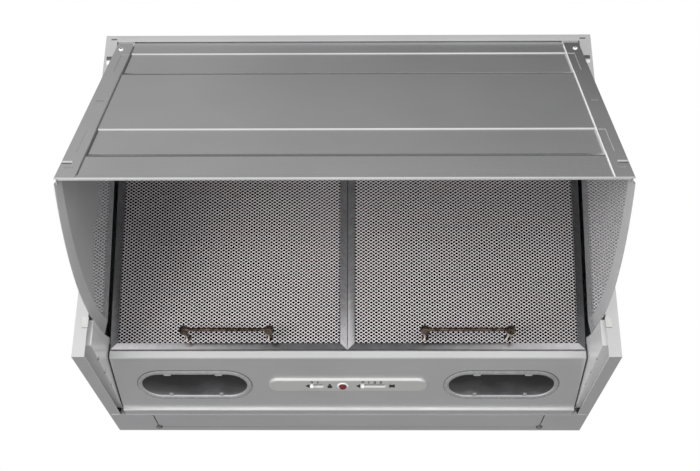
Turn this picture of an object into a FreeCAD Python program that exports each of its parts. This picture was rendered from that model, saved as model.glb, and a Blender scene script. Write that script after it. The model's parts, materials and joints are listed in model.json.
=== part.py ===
# Built-in cooker hood, 600 mm class, with a canopy that swings out on hinges along its top edge.
# Millimetres. X runs to the right, Y to the wall, Z up. The origin is on the wall face, at the
# middle of the casing's lower rear edge. The canopy is modelled open, as it is when cooking.

import FreeCAD
import Part
import Sketcher
import math
import os

doc = FreeCAD.newDocument("cooker_hood")
sheet = doc.addObject("Spreadsheet::Sheet", "Sizes")
nodes = {}
ACROSS = FreeCAD.Vector(1, 0, 0)


# A number that remembers the spreadsheet expression it comes from.
class Size:
    def __init__(self, value, text):
        self.value = float(value)
        self.text = text

    def __add__(self, other):
        return Size(self.value + value_of(other), f"({self.text} + {text_of(other)})")

    def __sub__(self, other):
        return Size(self.value - value_of(other), f"({self.text} - {text_of(other)})")

    def __rsub__(self, other):
        return Size(value_of(other) - self.value, f"({text_of(other)} - {self.text})")

    def __mul__(self, other):
        return Size(self.value * value_of(other), f"({self.text} * {text_of(other)})")

    def __truediv__(self, other):
        return Size(self.value / value_of(other), f"({self.text} / {text_of(other)})")

    def __neg__(self):
        return Size(-self.value, f"(-1 * {self.text})")

    __radd__ = __add__
    __rmul__ = __mul__


def value_of(size):
    return size.value if isinstance(size, Size) else float(size)


def text_of(size):
    return size.text if isinstance(size, Size) else repr(float(size))


def sine(angle):
    return Size(math.sin(math.radians(angle.value)), f"sin({angle.text})")


def cosine(angle):
    return Size(math.cos(math.radians(angle.value)), f"cos({angle.text})")


# One row of the sheet: the name as alias, beside its value.
def size(name, value):
    row = len(size.names) + 1
    size.names.append(name)
    sheet.set(f"A{row}", name)
    sheet.set(f"B{row}", str(value))
    sheet.setAlias(f"B{row}", name)
    return Size(value, f"Sizes.{name}")


size.names = []

# Casing
casing_width = size("casing_width", 598)
casing_depth = size("casing_depth", 284)
casing_height = size("casing_height", 420)
casing_sheet = size("casing_sheet", 1)
cut_past = size("cut_past", 1)
side_flange = size("side_flange", 14)
top_flange = size("top_flange", 9)
lap_flange = size("lap_flange", 12)
strip_depth = size("strip_depth", 70.6)
strip_upstand = size("strip_upstand", 12)
strip_screw_side = size("strip_screw_side", 54.3)
strip_screw_inset = size("strip_screw_inset", 16)
strip_slit_width = size("strip_slit_width", 1.2)
hang_hole_side = size("hang_hole_side", 99)
hang_hole_drop = size("hang_hole_drop", 45)
hang_hole_radius = size("hang_hole_radius", 4)
side_hole_radius = size("side_hole_radius", 2.5)
side_hole_drop = size("side_hole_drop", 60)
side_hole_pitch = size("side_hole_pitch", 160)
side_hole_setback = size("side_hole_setback", 100)

# Canopy
pivot_setback = size("pivot_setback", 4)
pivot_drop = size("pivot_drop", 15)
canopy_open_angle = size("canopy_open_angle", 34)
canopy_face = size("canopy_face", 5.3)
lip_past_arc = size("lip_past_arc", 0.6)
canopy_rise = size("canopy_rise", 3)
canopy_sheet = size("canopy_sheet", 0.8)
canopy_gap = size("canopy_gap", 2)
canopy_side_gap = size("canopy_side_gap", 0.9)
band_depth = size("band_depth", 1.5)
band_fade = size("band_fade", 7)
band_height = size("band_height", 64)
upper_band = size("upper_band", 32)
lower_band_margin = size("lower_band_margin", 50.6)
hem_height = size("hem_height", 8)
hem_proud = size("hem_proud", 0.6)
strip_width = size("strip_width", 20)
strip_sheet = size("strip_sheet", 1)
strip_slope = size("strip_slope", 1.4)
emboss_depth = size("emboss_depth", 0.8)
emboss_width = size("emboss_width", 10)
emboss_margin = size("emboss_margin", 4)
door_slot_rise = size("door_slot_rise", 23.6)
door_slot_pitch = size("door_slot_pitch", 160)
door_slot_length = size("door_slot_length", 9)
door_slot_width = size("door_slot_width", 3)
cheek_inset = size("cheek_inset", 1.8)
arc_low = size("arc_low", 48)
cheek_border = size("cheek_border", 17)
cheek_flare = size("cheek_flare", 2.6)
cheek_span_angle = size("cheek_span_angle", 46)
arc_clearance = size("arc_clearance", 2)
hub_radius = size("hub_radius", 5)
pin_radius = size("pin_radius", 2.2)
pin_head = size("pin_head", 4)
run_clearance = size("run_clearance", 0.3)
bush_gap = size("bush_gap", 0.1)
bush_radius = size("bush_radius", 2.8)
bracket_sheet = size("bracket_sheet", 1.5)
bracket_depth = size("bracket_depth", 26)
bracket_height = size("bracket_height", 30)
glide_height = size("glide_height", 12)
glide_low = size("glide_low", 34)
glide_wall = size("glide_wall", 1.5)
glide_nose = size("glide_nose", 0.8)
glide_grip = size("glide_grip", 6)

# Inner side plates
plate_front = size("plate_front", 8)
plate_back = size("plate_back", 205)
plate_front_low = size("plate_front_low", 16)
plate_back_low = size("plate_back_low", 6)
hook_mark_length = size("hook_mark_length", 4)
hook_mark_width = size("hook_mark_width", 2.5)
hook_mark_in = size("hook_mark_in", 5)

# Grease filters
filter_lean_angle = size("filter_lean_angle", 11.6)
filter_foot_depth = size("filter_foot_depth", 95.5)
filter_foot_height = size("filter_foot_height", 43)
filter_height = size("filter_height", 300)
filter_thickness = size("filter_thickness", 9)
filter_middle_gap = size("filter_middle_gap", 0.8)
filter_side_gap = size("filter_side_gap", 1.4)
frame_bar = size("frame_bar", 8)
frame_wall = size("frame_wall", 0.8)
frame_slope = size("frame_slope", 1.5)
mesh_sheet = size("mesh_sheet", 0.8)
layer_gap = size("layer_gap", 0.1)
mesh_columns = size("mesh_columns", 8)
mesh_rows = size("mesh_rows", 7)
rear_mesh_columns = size("rear_mesh_columns", 4)
rear_mesh_rows = size("rear_mesh_rows", 3)
mesh_strand = size("mesh_strand", 3.2)
eye_rise = size("eye_rise", 4.5)
eye_pin_radius = size("eye_pin_radius", 2)
eye_wall = size("eye_wall", 1.6)
hook_width = size("hook_width", 16)
hook_side_gap = size("hook_side_gap", 1)
hook_x_in = size("hook_x_in", 45)
hook_side = size("hook_side", 64)
hook_wall = size("hook_wall", 1)
hook_mouth = size("hook_mouth", 8)
seat_gap = size("seat_gap", 0.3)

# Filter handles
handle_pitch = size("handle_pitch", 96)
handle_spread = size("handle_spread", 1.5)
handle_base_height = size("handle_base_height", 14)
handle_standoff = size("handle_standoff", 28)
handle_lift = size("handle_lift", 5.2)
handle_foot_radius = size("handle_foot_radius", 3.8)
handle_foot_thick = size("handle_foot_thick", 1.6)
handle_neck_radius = size("handle_neck_radius", 2.6)
handle_knob_radius = size("handle_knob_radius", 4.2)
handle_bar_radius = size("handle_bar_radius", 2.3)
handle_screw_radius = size("handle_screw_radius", 1.8)
handle_screw_head = size("handle_screw_head", 3.6)
handle_screw_head_high = size("handle_screw_head_high", 1.8)
handle_screw_past = size("handle_screw_past", 1)
screw_hole_radius = size("screw_hole_radius", 2.4)

# Control panel and lamps
panel_slope_angle = size("panel_slope_angle", 15)
panel_nose_depth = size("panel_nose_depth", 92)
panel_nose_height = size("panel_nose_height", 31)
panel_length = size("panel_length", 107.5)
panel_sheet = size("panel_sheet", 0.8)
panel_side_gap = size("panel_side_gap", 2)
panel_upstand = size("panel_upstand", 6)
ledge_drop = size("ledge_drop", 1)
nose_forward = size("nose_forward", 5)
nose_round = size("nose_round", 2)
lip_run = size("lip_run", 1.4)
lip_inset = size("lip_inset", 0.4)
lip_rise = size("lip_rise", 5)
lip_gap = size("lip_gap", 0.5)
lamp_side = size("lamp_side", 113)
lamp_line = size("lamp_line", 56)
lens_length = size("lens_length", 139)
lens_width = size("lens_width", 61)
lens_rim = size("lens_rim", 3)
lens_proud = size("lens_proud", 1.4)
lens_wall = size("lens_wall", 3)
window_length = size("window_length", 127)
window_width = size("window_width", 41)
lens_dish = size("lens_dish", 0.7)
lens_depth = size("lens_depth", 4)
lens_fit = size("lens_fit", 0.3)
tray_wall = size("tray_wall", 0.8)
tray_height = size("tray_height", 34)
tray_flange = size("tray_flange", 6)
bulb_radius = size("bulb_radius", 14)
bulb_length = size("bulb_length", 78)
bulb_height = size("bulb_height", 19)
bulb_cap_radius = size("bulb_cap_radius", 7)
holder_radius = size("holder_radius", 11)
holder_length = size("holder_length", 30)
holder_end = size("holder_end", 6)
bulb_neck = size("bulb_neck", 4)
bulb_tip = size("bulb_tip", 3)
control_length = size("control_length", 192)
control_width = size("control_width", 25)
control_line = size("control_line", 54)
control_proud = size("control_proud", 3)
control_bevel = size("control_bevel", 1.2)
control_bevel_drop = size("control_bevel_drop", 2.6)
slider_slot_width = size("slider_slot_width", 6)
slider_clearance = size("slider_clearance", 0.4)
slider_length = size("slider_length", 6)
slider_proud = size("slider_proud", 3)
slider_reach = size("slider_reach", 5)
stem_space = size("stem_space", 1)
light_slot_x = size("light_slot_x", -45.9)
light_travel = size("light_travel", 7.2)
speed_slot_x = size("speed_slot_x", 15.1)
speed_travel = size("speed_travel", 21.3)
indicator_x = size("indicator_x", -6)
indicator_radius = size("indicator_radius", 4.5)
indicator_rim = size("indicator_rim", 1.2)
switch_length = size("switch_length", 124)
switch_width = size("switch_width", 24)
switch_height = size("switch_height", 17)

# Plenum and blower
plenum_side_gap = size("plenum_side_gap", 4)
plenum_flange = size("plenum_flange", 8)
plenum_sheet = size("plenum_sheet", 0.8)
seat_low_gap = size("seat_low_gap", 3)
floor_setback = size("floor_setback", 3)
floor_height = size("floor_height", 65)
rail_back = size("rail_back", 7.5)
blower_back_gap = size("blower_back_gap", 6.8)
blower_height = size("blower_height", 205)
blower_width = size("blower_width", 130)
scroll_radius = size("scroll_radius", 84)
scroll_step = size("scroll_step", 7)
scroll_wall = size("scroll_wall", 1.2)
inlet_radius = size("inlet_radius", 62)
inlet_lip = size("inlet_lip", 3)
wheel_radius = size("wheel_radius", 75)
wheel_inner_radius = size("wheel_inner_radius", 61)
wheel_width = size("wheel_width", 114)
wheel_ring = size("wheel_ring", 3)
wheel_disc = size("wheel_disc", 2)
blade_count = size("blade_count", 24)
blade_sweep_angle = size("blade_sweep_angle", 10)
blade_thick = size("blade_thick", 1.2)
blade_seat = size("blade_seat", 1)
wheel_hub_radius = size("wheel_hub_radius", 12)
wheel_hub_length = size("wheel_hub_length", 30)
shaft_radius = size("shaft_radius", 4)
shaft_fit = size("shaft_fit", 0.05)
shaft_past_hub = size("shaft_past_hub", 4)
shaft_end_gap = size("shaft_end_gap", 2)
motor_gap = size("motor_gap", 10)
motor_radius = size("motor_radius", 45)
motor_length = size("motor_length", 56)
motor_cap_radius = size("motor_cap_radius", 34)
motor_cap_length = size("motor_cap_length", 7)
shaft_into_motor = size("shaft_into_motor", 18)
arm_width = size("arm_width", 10)
arm_thick = size("arm_thick", 2.5)
arm_foot_radius = size("arm_foot_radius", 72)
capacitor_radius = size("capacitor_radius", 15)
capacitor_height = size("capacitor_height", 52)
capacitor_side = size("capacitor_side", 109)
capacitor_stud = size("capacitor_stud", 8)
capacitor_inset = size("capacitor_inset", 40)

# Outlet, flaps and mains entry
outlet_radius = size("outlet_radius", 60)
outlet_wall = size("outlet_wall", 1.6)
outlet_height = size("outlet_height", 38)
outlet_flange = size("outlet_flange", 15)
outlet_flange_thick = size("outlet_flange_thick", 3)
flap_ledge = size("flap_ledge", 3)
flap_thick = size("flap_thick", 1)
flap_side_gap = size("flap_side_gap", 1.2)
flap_axis_offset = size("flap_axis_offset", 3.2)
flap_pin_radius = size("flap_pin_radius", 1.6)
collar_screw_radius = size("collar_screw_radius", 2)
collar_screw_head = size("collar_screw_head", 3.8)
gland_side = size("gland_side", 99)
gland_inset = size("gland_inset", 40)
gland_radius = size("gland_radius", 8)
gland_height = size("gland_height", 18)
gland_bore = size("gland_bore", 4)
terminal_width = size("terminal_width", 84)
terminal_height = size("terminal_height", 52)
terminal_thick = size("terminal_thick", 30)
terminal_drop = size("terminal_drop", 120)
terminal_entry = size("terminal_entry", 8)
switch_arm = size("switch_arm", 120)
switch_angle = size("switch_angle", 30)
canopy_switch_size = size("canopy_switch_size", 18)
canopy_switch_gap = size("canopy_switch_gap", 0.8)
plunger_stroke = size("plunger_stroke", 3)
plunger_radius = size("plunger_radius", 1.8)
doc.recompute()

# Places that several pieces share
half = casing_width / 2
inside = half - casing_sheet
flange_edge = half - side_flange
back_face = -casing_sheet
strip_edge = flange_edge - canopy_gap
cheek_outer = strip_edge - cheek_inset
cheek_inner = cheek_outer - canopy_sheet
filter_half = cheek_inner - filter_side_gap
panel_half = cheek_inner - panel_side_gap
wall_outer = cheek_inner - plenum_side_gap
wall_inner = wall_outer - plenum_sheet
pivot_height = casing_height - pivot_drop
cheek_radius = pivot_height - arc_low
canopy_length = cheek_radius + lip_past_arc
lower_band = canopy_length - lower_band_margin - band_height
strip_in = strip_edge - strip_width
frame_depth = frame_wall + frame_slope
mesh_front = frame_depth + layer_gap
strip_screw_x = half - strip_screw_side
hang_hole_x = half - hang_hole_side
hook_x_out = half - hook_side
lamp_x = half - lamp_side
capacitor_x = capacitor_side - half
gland_x = gland_side - half
flap_height = casing_height + outlet_flange_thick + flap_ledge
blower_half = blower_width / 2
scroll_reach = scroll_radius + scroll_step * 3
blower_depth = casing_depth - casing_sheet - blower_back_gap - scroll_wall - scroll_reach


# A place behind the casing's front plane.
def behind(depth):
    return depth - casing_depth


# A frame turned about X: a point, and a turn that is always positive about its own axis.
class Frame:
    def __init__(self, y, z, turn, sign):
        self.y = y
        self.z = z
        self.turn = turn
        self.sign = sign

    def point(self, along, up):
        along_y = along * cosine(self.turn)
        along_z = along * sine(self.turn) * self.sign
        up_y = up * sine(self.turn) * (-self.sign)
        up_z = up * cosine(self.turn)
        return self.y + along_y + up_y, self.z + along_z + up_z


canopy_frame = Frame(behind(pivot_setback), pivot_height, canopy_open_angle, -1)
filter_frame = Frame(behind(filter_foot_depth), filter_foot_height, filter_lean_angle, 1)
panel_frame = Frame(behind(panel_nose_depth), panel_nose_height, panel_slope_angle, -1)


def bind(thing, prop, amount):
    if isinstance(amount, Size):
        thing.setExpression(prop, amount.text)


def put(thing, frame):
    turn = FreeCAD.Rotation(ACROSS * frame.sign, frame.turn.value)
    thing.Placement = FreeCAD.Placement(FreeCAD.Vector(0, frame.y.value, frame.z.value), turn)
    bind(thing, ".Placement.Base.y", frame.y)
    bind(thing, ".Placement.Base.z", frame.z)
    bind(thing, ".Placement.Rotation.Angle", frame.turn)


def keep(label, thing, frame=None):
    if frame:
        put(thing, frame)
    thing.Label = label
    nodes[label] = thing
    return thing


def box(x0, x1, y0, y1, z0, z1):
    thing = doc.addObject("Part::Box", "block")
    for prop, low, high in (("Length", x0, x1), ("Width", y0, y1), ("Height", z0, z1)):
        setattr(thing, prop, value_of(high) - value_of(low))
        bind(thing, prop, Size(0, "0") + high - low)
    start = FreeCAD.Vector(value_of(x0), value_of(y0), value_of(z0))
    thing.Placement = FreeCAD.Placement(start, FreeCAD.Rotation())
    for axis, low in zip("xyz", (x0, y0, z0)):
        bind(thing, f".Placement.Base.{axis}", low)
    return thing


# A block whose front and rear faces differ in width and height.
def wedge(front_x, rear_x, depth, front_z, rear_z):
    thing = doc.addObject("Part::Wedge", "wedge")
    limits = {"X": front_x, "X2": rear_x, "Y": depth, "Z": front_z, "Z2": rear_z}
    for prop, (low, high) in limits.items():
        for end, amount in (("min", low), ("max", high)):
            setattr(thing, prop + end, value_of(amount))
            bind(thing, prop + end, amount)
    return thing


TURNS = {
    "x": FreeCAD.Rotation(FreeCAD.Vector(0, 1, 0), 90),
    "y": FreeCAD.Rotation(FreeCAD.Vector(1, 0, 0), -90),
    "z": FreeCAD.Rotation(),
}


# A rod that starts at a point and runs along an axis.
def rod(axis, x, y, z, radius, length, end_radius=None):
    thing = doc.addObject("Part::Cone" if end_radius else "Part::Cylinder", "rod")
    thing.Height = value_of(length)
    bind(thing, "Height", length)
    if end_radius:
        thing.Radius1 = value_of(radius)
        thing.Radius2 = value_of(end_radius)
        bind(thing, "Radius1", radius)
        bind(thing, "Radius2", end_radius)
    else:
        thing.Radius = value_of(radius)
        bind(thing, "Radius", radius)
    start = FreeCAD.Vector(value_of(x), value_of(y), value_of(z))
    thing.Placement = FreeCAD.Placement(start, TURNS[axis])
    for letter, low in zip("xyz", (x, y, z)):
        bind(thing, f".Placement.Base.{letter}", low)
    return thing


def fuse(things):
    thing = doc.addObject("Part::MultiFuse", "joined")
    thing.Shapes = things
    thing.Refine = True
    return thing


def cut(base, tools):
    thing = doc.addObject("Part::Cut", "trimmed")
    thing.Base = base
    thing.Tool = tools[0] if len(tools) == 1 else fuse(tools)
    return thing


# A slab with round ends, long in X, drawn in the plane of a frame.
def stadium(x, y, length, width, z0, z1):
    radius = width / 2
    reach = length / 2 - radius
    pieces = [box(x - reach, x + reach, y - radius, y + radius, z0, z1)]
    for end in (x - reach, x + reach):
        pieces.append(rod("z", end, y, z0, radius, Size(0, "0") + z1 - z0))
    return fuse(pieces)


# Bevels the edges of a slab that lie at one height.
def bevel_rim(slab, height, width, drop):
    doc.recompute()
    edges = []
    for number, edge in enumerate(slab.Shape.Edges, 1):
        if all(abs(vertex.Z - value_of(height)) < 0.001 for vertex in edge.Vertexes):
            edges.append((number, drop.value, width.value))
    thing = doc.addObject("Part::Chamfer", "bevelled")
    thing.Base = slab
    thing.Edges = edges
    return thing


def solid(label, shape, frame=None):
    thing = doc.addObject("Part::Feature", "form")
    thing.Shape = shape
    return keep(label, thing, frame)


def plane_of(body, role):
    for feature in body.Origin.OriginFeatures:
        if feature.Role == role:
            return feature
    raise ValueError(role)


# A closed outline of straight runs, each corner held by the sheet.
def outline(body, role, corners, offset=None):
    sketch = body.newObject("Sketcher::SketchObject", "outline")
    sketch.AttachmentSupport = [(plane_of(body, role), "")]
    sketch.MapMode = "FlatFace"
    if offset is not None:
        sketch.AttachmentOffset = FreeCAD.Placement(
            FreeCAD.Vector(0, 0, value_of(offset)), FreeCAD.Rotation()
        )
        bind(sketch, ".AttachmentOffset.Base.z", offset)
    points = [FreeCAD.Vector(value_of(u), value_of(v), 0) for u, v in corners]
    count = len(points)
    for k in range(count):
        sketch.addGeometry(Part.LineSegment(points[k], points[(k + 1) % count]), False)
    for k in range(count):
        sketch.addConstraint(Sketcher.Constraint("Coincident", k, 2, (k + 1) % count, 1))
    for k, (u, v) in enumerate(corners):
        for kind, amount in (("DistanceX", u), ("DistanceY", v)):
            held = Sketcher.Constraint(kind, -1, 1, k, 1, value_of(amount))
            number = sketch.addConstraint(held)
            bind(sketch, f"Constraints[{number}]", amount)
    return sketch


# A profile in the YZ plane, run along X.
def run_along(corners, x0, x1):
    body = doc.addObject("PartDesign::Body", "profile")
    sketch = outline(body, "YZ_Plane", corners, x0)
    pad = body.newObject("PartDesign::Pad", "run")
    pad.Profile = sketch
    pad.Length = value_of(x1) - value_of(x0)
    bind(pad, "Length", Size(0, "0") + x1 - x0)
    doc.recompute()
    return body


# Rounds the edges that run along X through the given points of the YZ plane.
def round_runs(body, places, radius):
    base = body.Tip
    names = []
    for number, edge in enumerate(base.Shape.Edges, 1):
        ends = [vertex.Point for vertex in edge.Vertexes]
        if len(ends) != 2 or abs(ends[0].x - ends[1].x) < 1:
            continue
        for y, z in places:
            if math.hypot(ends[0].y - value_of(y), ends[0].z - value_of(z)) < 0.01:
                names.append(f"Edge{number}")
    fillet = body.newObject("PartDesign::Fillet", "rounding")
    fillet.Base = (base, names)
    fillet.Radius = value_of(radius)
    bind(fillet, "Radius", radius)
    doc.recompute()
    return body


# The two limits in X of a piece on one side: side is -1 on the left and 1 on the right.
def span(side, near, far):
    return (near, far) if side > 0 else (-far, -near)


SIDES = (("left", -1), ("right", 1))

# Pairs of small pieces that share a node
hinge_pins = []
hinge_bushes = []
glides = []
lamp_holders = []


# Casing: bent sides, top, back and the strip under the rear
def casing_side(side):
    name = "left" if side < 0 else "right"
    plate = box(*span(side, inside, half), -casing_depth, 0, 0, casing_height)
    front = box(*span(side, flange_edge, inside), -casing_depth, behind(casing_sheet), 0, casing_height)
    under_end = -strip_depth - seat_gap
    under = box(*span(side, flange_edge, inside), behind(casing_sheet), under_end, 0, casing_sheet)
    holes = []
    for k in range(2):
        drop = casing_height - side_hole_drop - side_hole_pitch * k
        start = span(side, inside - cut_past, half + cut_past)[0]
        holes.append(rod("x", start, behind(side_hole_setback), drop, side_hole_radius,
                         casing_sheet + cut_past * 2))
    keep(f"casing_{name}_side", cut(fuse([plate, front, under]), holes))


def casing_top():
    low = casing_height - casing_sheet
    plate = box(-inside, inside, behind(casing_sheet), back_face, low, casing_height)
    front = box(-flange_edge, flange_edge, -casing_depth, behind(casing_sheet),
                casing_height - top_flange, casing_height)
    laps = []
    for name, side in SIDES:
        laps.append(box(*span(side, inside - casing_sheet, inside), behind(bracket_depth + lap_flange),
                        back_face, low - lap_flange, low))
    collar_hole = rod("z", 0, outlet_y, low - cut_past, outlet_radius - flap_ledge - outlet_wall,
                      casing_sheet + cut_past * 2)
    gland_hole = rod("z", gland_x, -gland_inset, low - cut_past, gland_radius, casing_sheet + cut_past * 2)
    keep("casing_top", cut(fuse([plate, front] + laps), [collar_hole, gland_hole]))


def casing_back():
    plate = box(-inside, inside, back_face, 0, 0, casing_height)
    foot = box(-inside + lap_flange, inside - lap_flange, back_face - strip_screw_inset - lap_flange,
               back_face, casing_sheet, casing_sheet * 2)
    laps = []
    for name, side in SIDES:
        laps.append(box(*span(side, inside - casing_sheet, inside), back_face - lap_flange, back_face,
                        casing_sheet, casing_height - lap_flange - casing_sheet * 2))
    holes = []
    for x in (-hang_hole_x, hang_hole_x):
        height = casing_height - hang_hole_drop
        holes.append(rod("y", x, back_face - cut_past, height, hang_hole_radius,
                         casing_sheet + cut_past * 2))
    for x in (-strip_screw_x, strip_screw_x):
        holes.append(rod("z", x, -strip_screw_inset, casing_sheet / 2, collar_screw_radius,
                         casing_sheet * 2))
    keep("casing_back", cut(fuse([plate, foot] + laps), holes))


def rear_strip():
    front = -strip_depth
    profile = [
        (front, 0), (back_face, 0), (back_face, casing_sheet), (front + casing_sheet, casing_sheet),
        (front + casing_sheet, strip_upstand), (front, strip_upstand),
    ]
    body = run_along(profile, -inside, inside)
    trims = []
    for name, side in SIDES:
        trims.append(box(*span(side, flange_edge - seat_gap, inside + cut_past), front - cut_past,
                         front + casing_sheet, -cut_past, strip_upstand + cut_past))
        middle = strip_screw_x * side
        slit = strip_slit_width / 2
        trims.append(box(middle - slit, middle + slit, front + casing_sheet * 3, -strip_screw_inset,
                         -cut_past, casing_sheet + cut_past))
        trims.append(rod("z", middle, -strip_screw_inset, -cut_past, collar_screw_radius,
                         casing_sheet + cut_past * 2))
    keep("rear_bottom_strip", cut(body, trims))
    screws = []
    for name, side in SIDES:
        x = strip_screw_x * side
        head = rod("z", x, -strip_screw_inset, -casing_sheet * 1.6, collar_screw_head, casing_sheet * 1.6)
        shank = rod("z", x, -strip_screw_inset, 0, collar_screw_radius, casing_sheet * 5)
        blade = strip_slit_width / 2
        slot = box(x - collar_screw_head, x + collar_screw_head, -strip_screw_inset - blade,
                   -strip_screw_inset + blade, -casing_sheet * 2, -casing_sheet)
        screws.append(cut(fuse([head, shank]), [slot]))
    keep("strip_screws", compound(screws))


# Identical fasteners kept together as separate solids.
def compound(things):
    thing = doc.addObject("Part::Compound", "group")
    thing.Links = things
    return thing


outlet_y = behind(blower_depth) + scroll_reach / 2


# Inner side plates below the arcs, with flanges that reach the casing sides
def inner_plate(name, side):
    slope = (plate_front_low - plate_back_low) / (plate_back - plate_front)
    top = pivot_height - cheek_radius / 2
    front = behind(plate_front)
    back = behind(plate_back)
    wall = run_along([(front, plate_front_low), (back, plate_back_low), (back, top), (front, top)],
                     *span(side, cheek_inner, cheek_outer))
    lower = run_along(
        [(front, plate_front_low), (back, plate_back_low), (back, plate_back_low + canopy_sheet),
         (front, plate_front_low + canopy_sheet)], *span(side, cheek_inner, inside))
    face = box(*span(side, cheek_inner, inside), front, front + canopy_sheet, plate_front_low, top)
    arc = rod("x", -half, canopy_frame.y, pivot_height, cheek_radius + arc_clearance, casing_width)
    slots = []
    for k in range(3):
        y = front + (k + 1) * (plate_back - plate_front) / 5
        z = plate_front_low - slope * (y - front)
        mark = flange_edge - hook_mark_in
        slots.append(box(*span(side, mark, mark + hook_mark_width), y, y + hook_mark_length,
                         z - hook_mark_length, z + hook_mark_length))
    keep(f"{name}_inner_plate", cut(fuse([wall, lower, face]), [arc] + slots))


# Canopy: a pressed panel between two cheeks, drawn closed about the hinge line and then swung open
def canopy_panel():
    face = -canopy_face
    inner = canopy_sheet - canopy_face
    outer_side = [(face, canopy_rise)]
    for top in (upper_band, lower_band):
        low = top + band_height
        outer_side += [
            (face, -top), (face + band_depth, -top - band_depth),
            (face + band_depth, band_fade - low), (face, -low),
        ]
    lip = -canopy_length
    hem = lip + hem_height
    outer_side += [(face, hem + hem_proud), (face - hem_proud, hem), (face - hem_proud, lip)]
    inner_side = [(inner + hem_proud, lip), (inner + hem_proud, hem), (inner, hem + hem_proud)]
    for top in (lower_band, upper_band):
        low = top + band_height
        inner_side += [
            (inner, -low), (inner + band_depth, band_fade - low),
            (inner + band_depth, -top - band_depth), (inner, -top),
        ]
    inner_side.append((inner, canopy_rise))
    width = cheek_inner - canopy_side_gap
    pressing = run_along(outer_side + inner_side, -width, width)
    notches = []
    for name, side in SIDES:
        notches.append(box(*span(side, strip_in - run_clearance, half), face - hem_proud - cut_past, face,
                           lip - cut_past, hem + hem_height))
    keep("canopy_panel", cut(pressing, notches), canopy_frame)


def canopy_cheek(name, side):
    near = cheek_inner * side
    far = cheek_outer * side
    fold = cheek_radius - cheek_border
    body = doc.addObject("PartDesign::Body", "sector")
    section = outline(body, "XZ_Plane", [
        (near, -hub_radius / 2), (near, -fold), (near + cheek_flare * side, -cheek_radius),
        (far + cheek_flare * side, -cheek_radius), (far, -fold), (far, -hub_radius / 2),
    ])
    sector = body.newObject("PartDesign::Revolution", "sweep")
    sector.Profile = section
    sector.ReferenceAxis = (plane_of(body, "X_Axis"), [""])
    sector.Angle = cheek_span_angle.value
    bind(sector, "Angle", cheek_span_angle)
    doc.recompute()
    hub = rod("x", span(side, cheek_inner, cheek_outer)[0], 0, 0, hub_radius, canopy_sheet)
    face = -canopy_face
    turn_in = box(*span(side, cheek_inner, cheek_outer), face - strip_sheet / 2, canopy_sheet / 2,
                  -canopy_length, -hub_radius / 2)
    run = (-canopy_length, canopy_rise)
    strip = wedge(span(side, strip_in + strip_slope, strip_edge), span(side, strip_in, strip_edge),
                  (face - strip_sheet, face), run, run)
    backs = []
    pockets = []
    for top in (upper_band, lower_band):
        high = -top - emboss_margin
        low = band_fade - top - band_height
        pockets.append(box(*span(side, strip_in - cut_past, strip_in + emboss_width),
                           face - strip_sheet - cut_past,
                           face - strip_sheet + emboss_depth, low, high))
        backs.append(box(*span(side, strip_in, strip_in + emboss_width + emboss_depth),
                         face - strip_sheet + emboss_depth, face + emboss_depth,
                         low - emboss_depth, high + emboss_depth))
    slots = []
    door_slot_drop = canopy_length - door_slot_rise
    for drop in (door_slot_drop, door_slot_drop - door_slot_pitch):
        slots.append(box(*span(side, strip_edge - strip_width / 2 - door_slot_length / 2,
                               strip_edge - strip_width / 2 + door_slot_length / 2),
                         face - strip_sheet * 2, face + strip_sheet,
                         -drop - door_slot_width / 2, -drop + door_slot_width / 2))
    bore = rod("x", -half, 0, 0, pin_radius + run_clearance, casing_width)
    flange = fuse([cut(strip, pockets), *backs])
    keep(f"canopy_{name}_cheek", cut(fuse([body, hub, turn_in, flange]), [bore] + slots), canopy_frame)


# Hinge at one upper corner: bracket on the casing, pin through it, bush between it and the cheek
def hinge(name, side):
    y = canopy_frame.y
    z = pivot_height
    plate_in = flange_edge + bracket_sheet
    plate_out = plate_in + bracket_sheet
    web = box(*span(side, plate_in, plate_out), behind(casing_sheet), behind(bracket_depth),
              casing_height - casing_sheet - bracket_height, casing_height - casing_sheet)
    foot = box(*span(side, plate_in, inside - casing_sheet), behind(casing_sheet),
               behind(casing_sheet + bracket_sheet), casing_height - casing_sheet - bracket_height,
               casing_height - casing_sheet)
    hole = rod("x", -half, y, z, pin_radius, casing_width)
    keep(f"{name}_hinge_bracket", cut(fuse([web, foot]), [hole]))
    head_near = cheek_inner - run_clearance - bracket_sheet
    shank_far = plate_out + bracket_sheet
    shank = rod("x", span(side, head_near, shank_far)[0], y, z, pin_radius, shank_far - head_near)
    head = rod("x", span(side, head_near, head_near + bracket_sheet)[0], y, z, pin_head, bracket_sheet)
    hinge_pins.append(fuse([shank, head]))
    bush_near = cheek_outer + bush_gap
    bush_length = plate_in - bush_near
    start = span(side, bush_near, plate_in)[0]
    ring = rod("x", start, y, z, bush_radius, bush_length)
    hinge_bushes.append(cut(ring, [rod("x", -half, y, z, pin_radius, casing_width)]))


# Nylon glide clipped on the edge of the casing's front flange, where the cheek runs past
def glide(name, side):
    front = behind(-glide_wall)
    back = behind(casing_sheet + glide_wall)
    high = glide_low + glide_height
    block = box(*span(side, flange_edge - glide_nose, flange_edge + glide_grip), front, back,
                glide_low, high)
    slot = box(*span(side, flange_edge, flange_edge + glide_grip + cut_past), -casing_depth,
               behind(casing_sheet), glide_low - cut_past, high + cut_past)
    glides.append(cut(block, [slot]))


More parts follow.
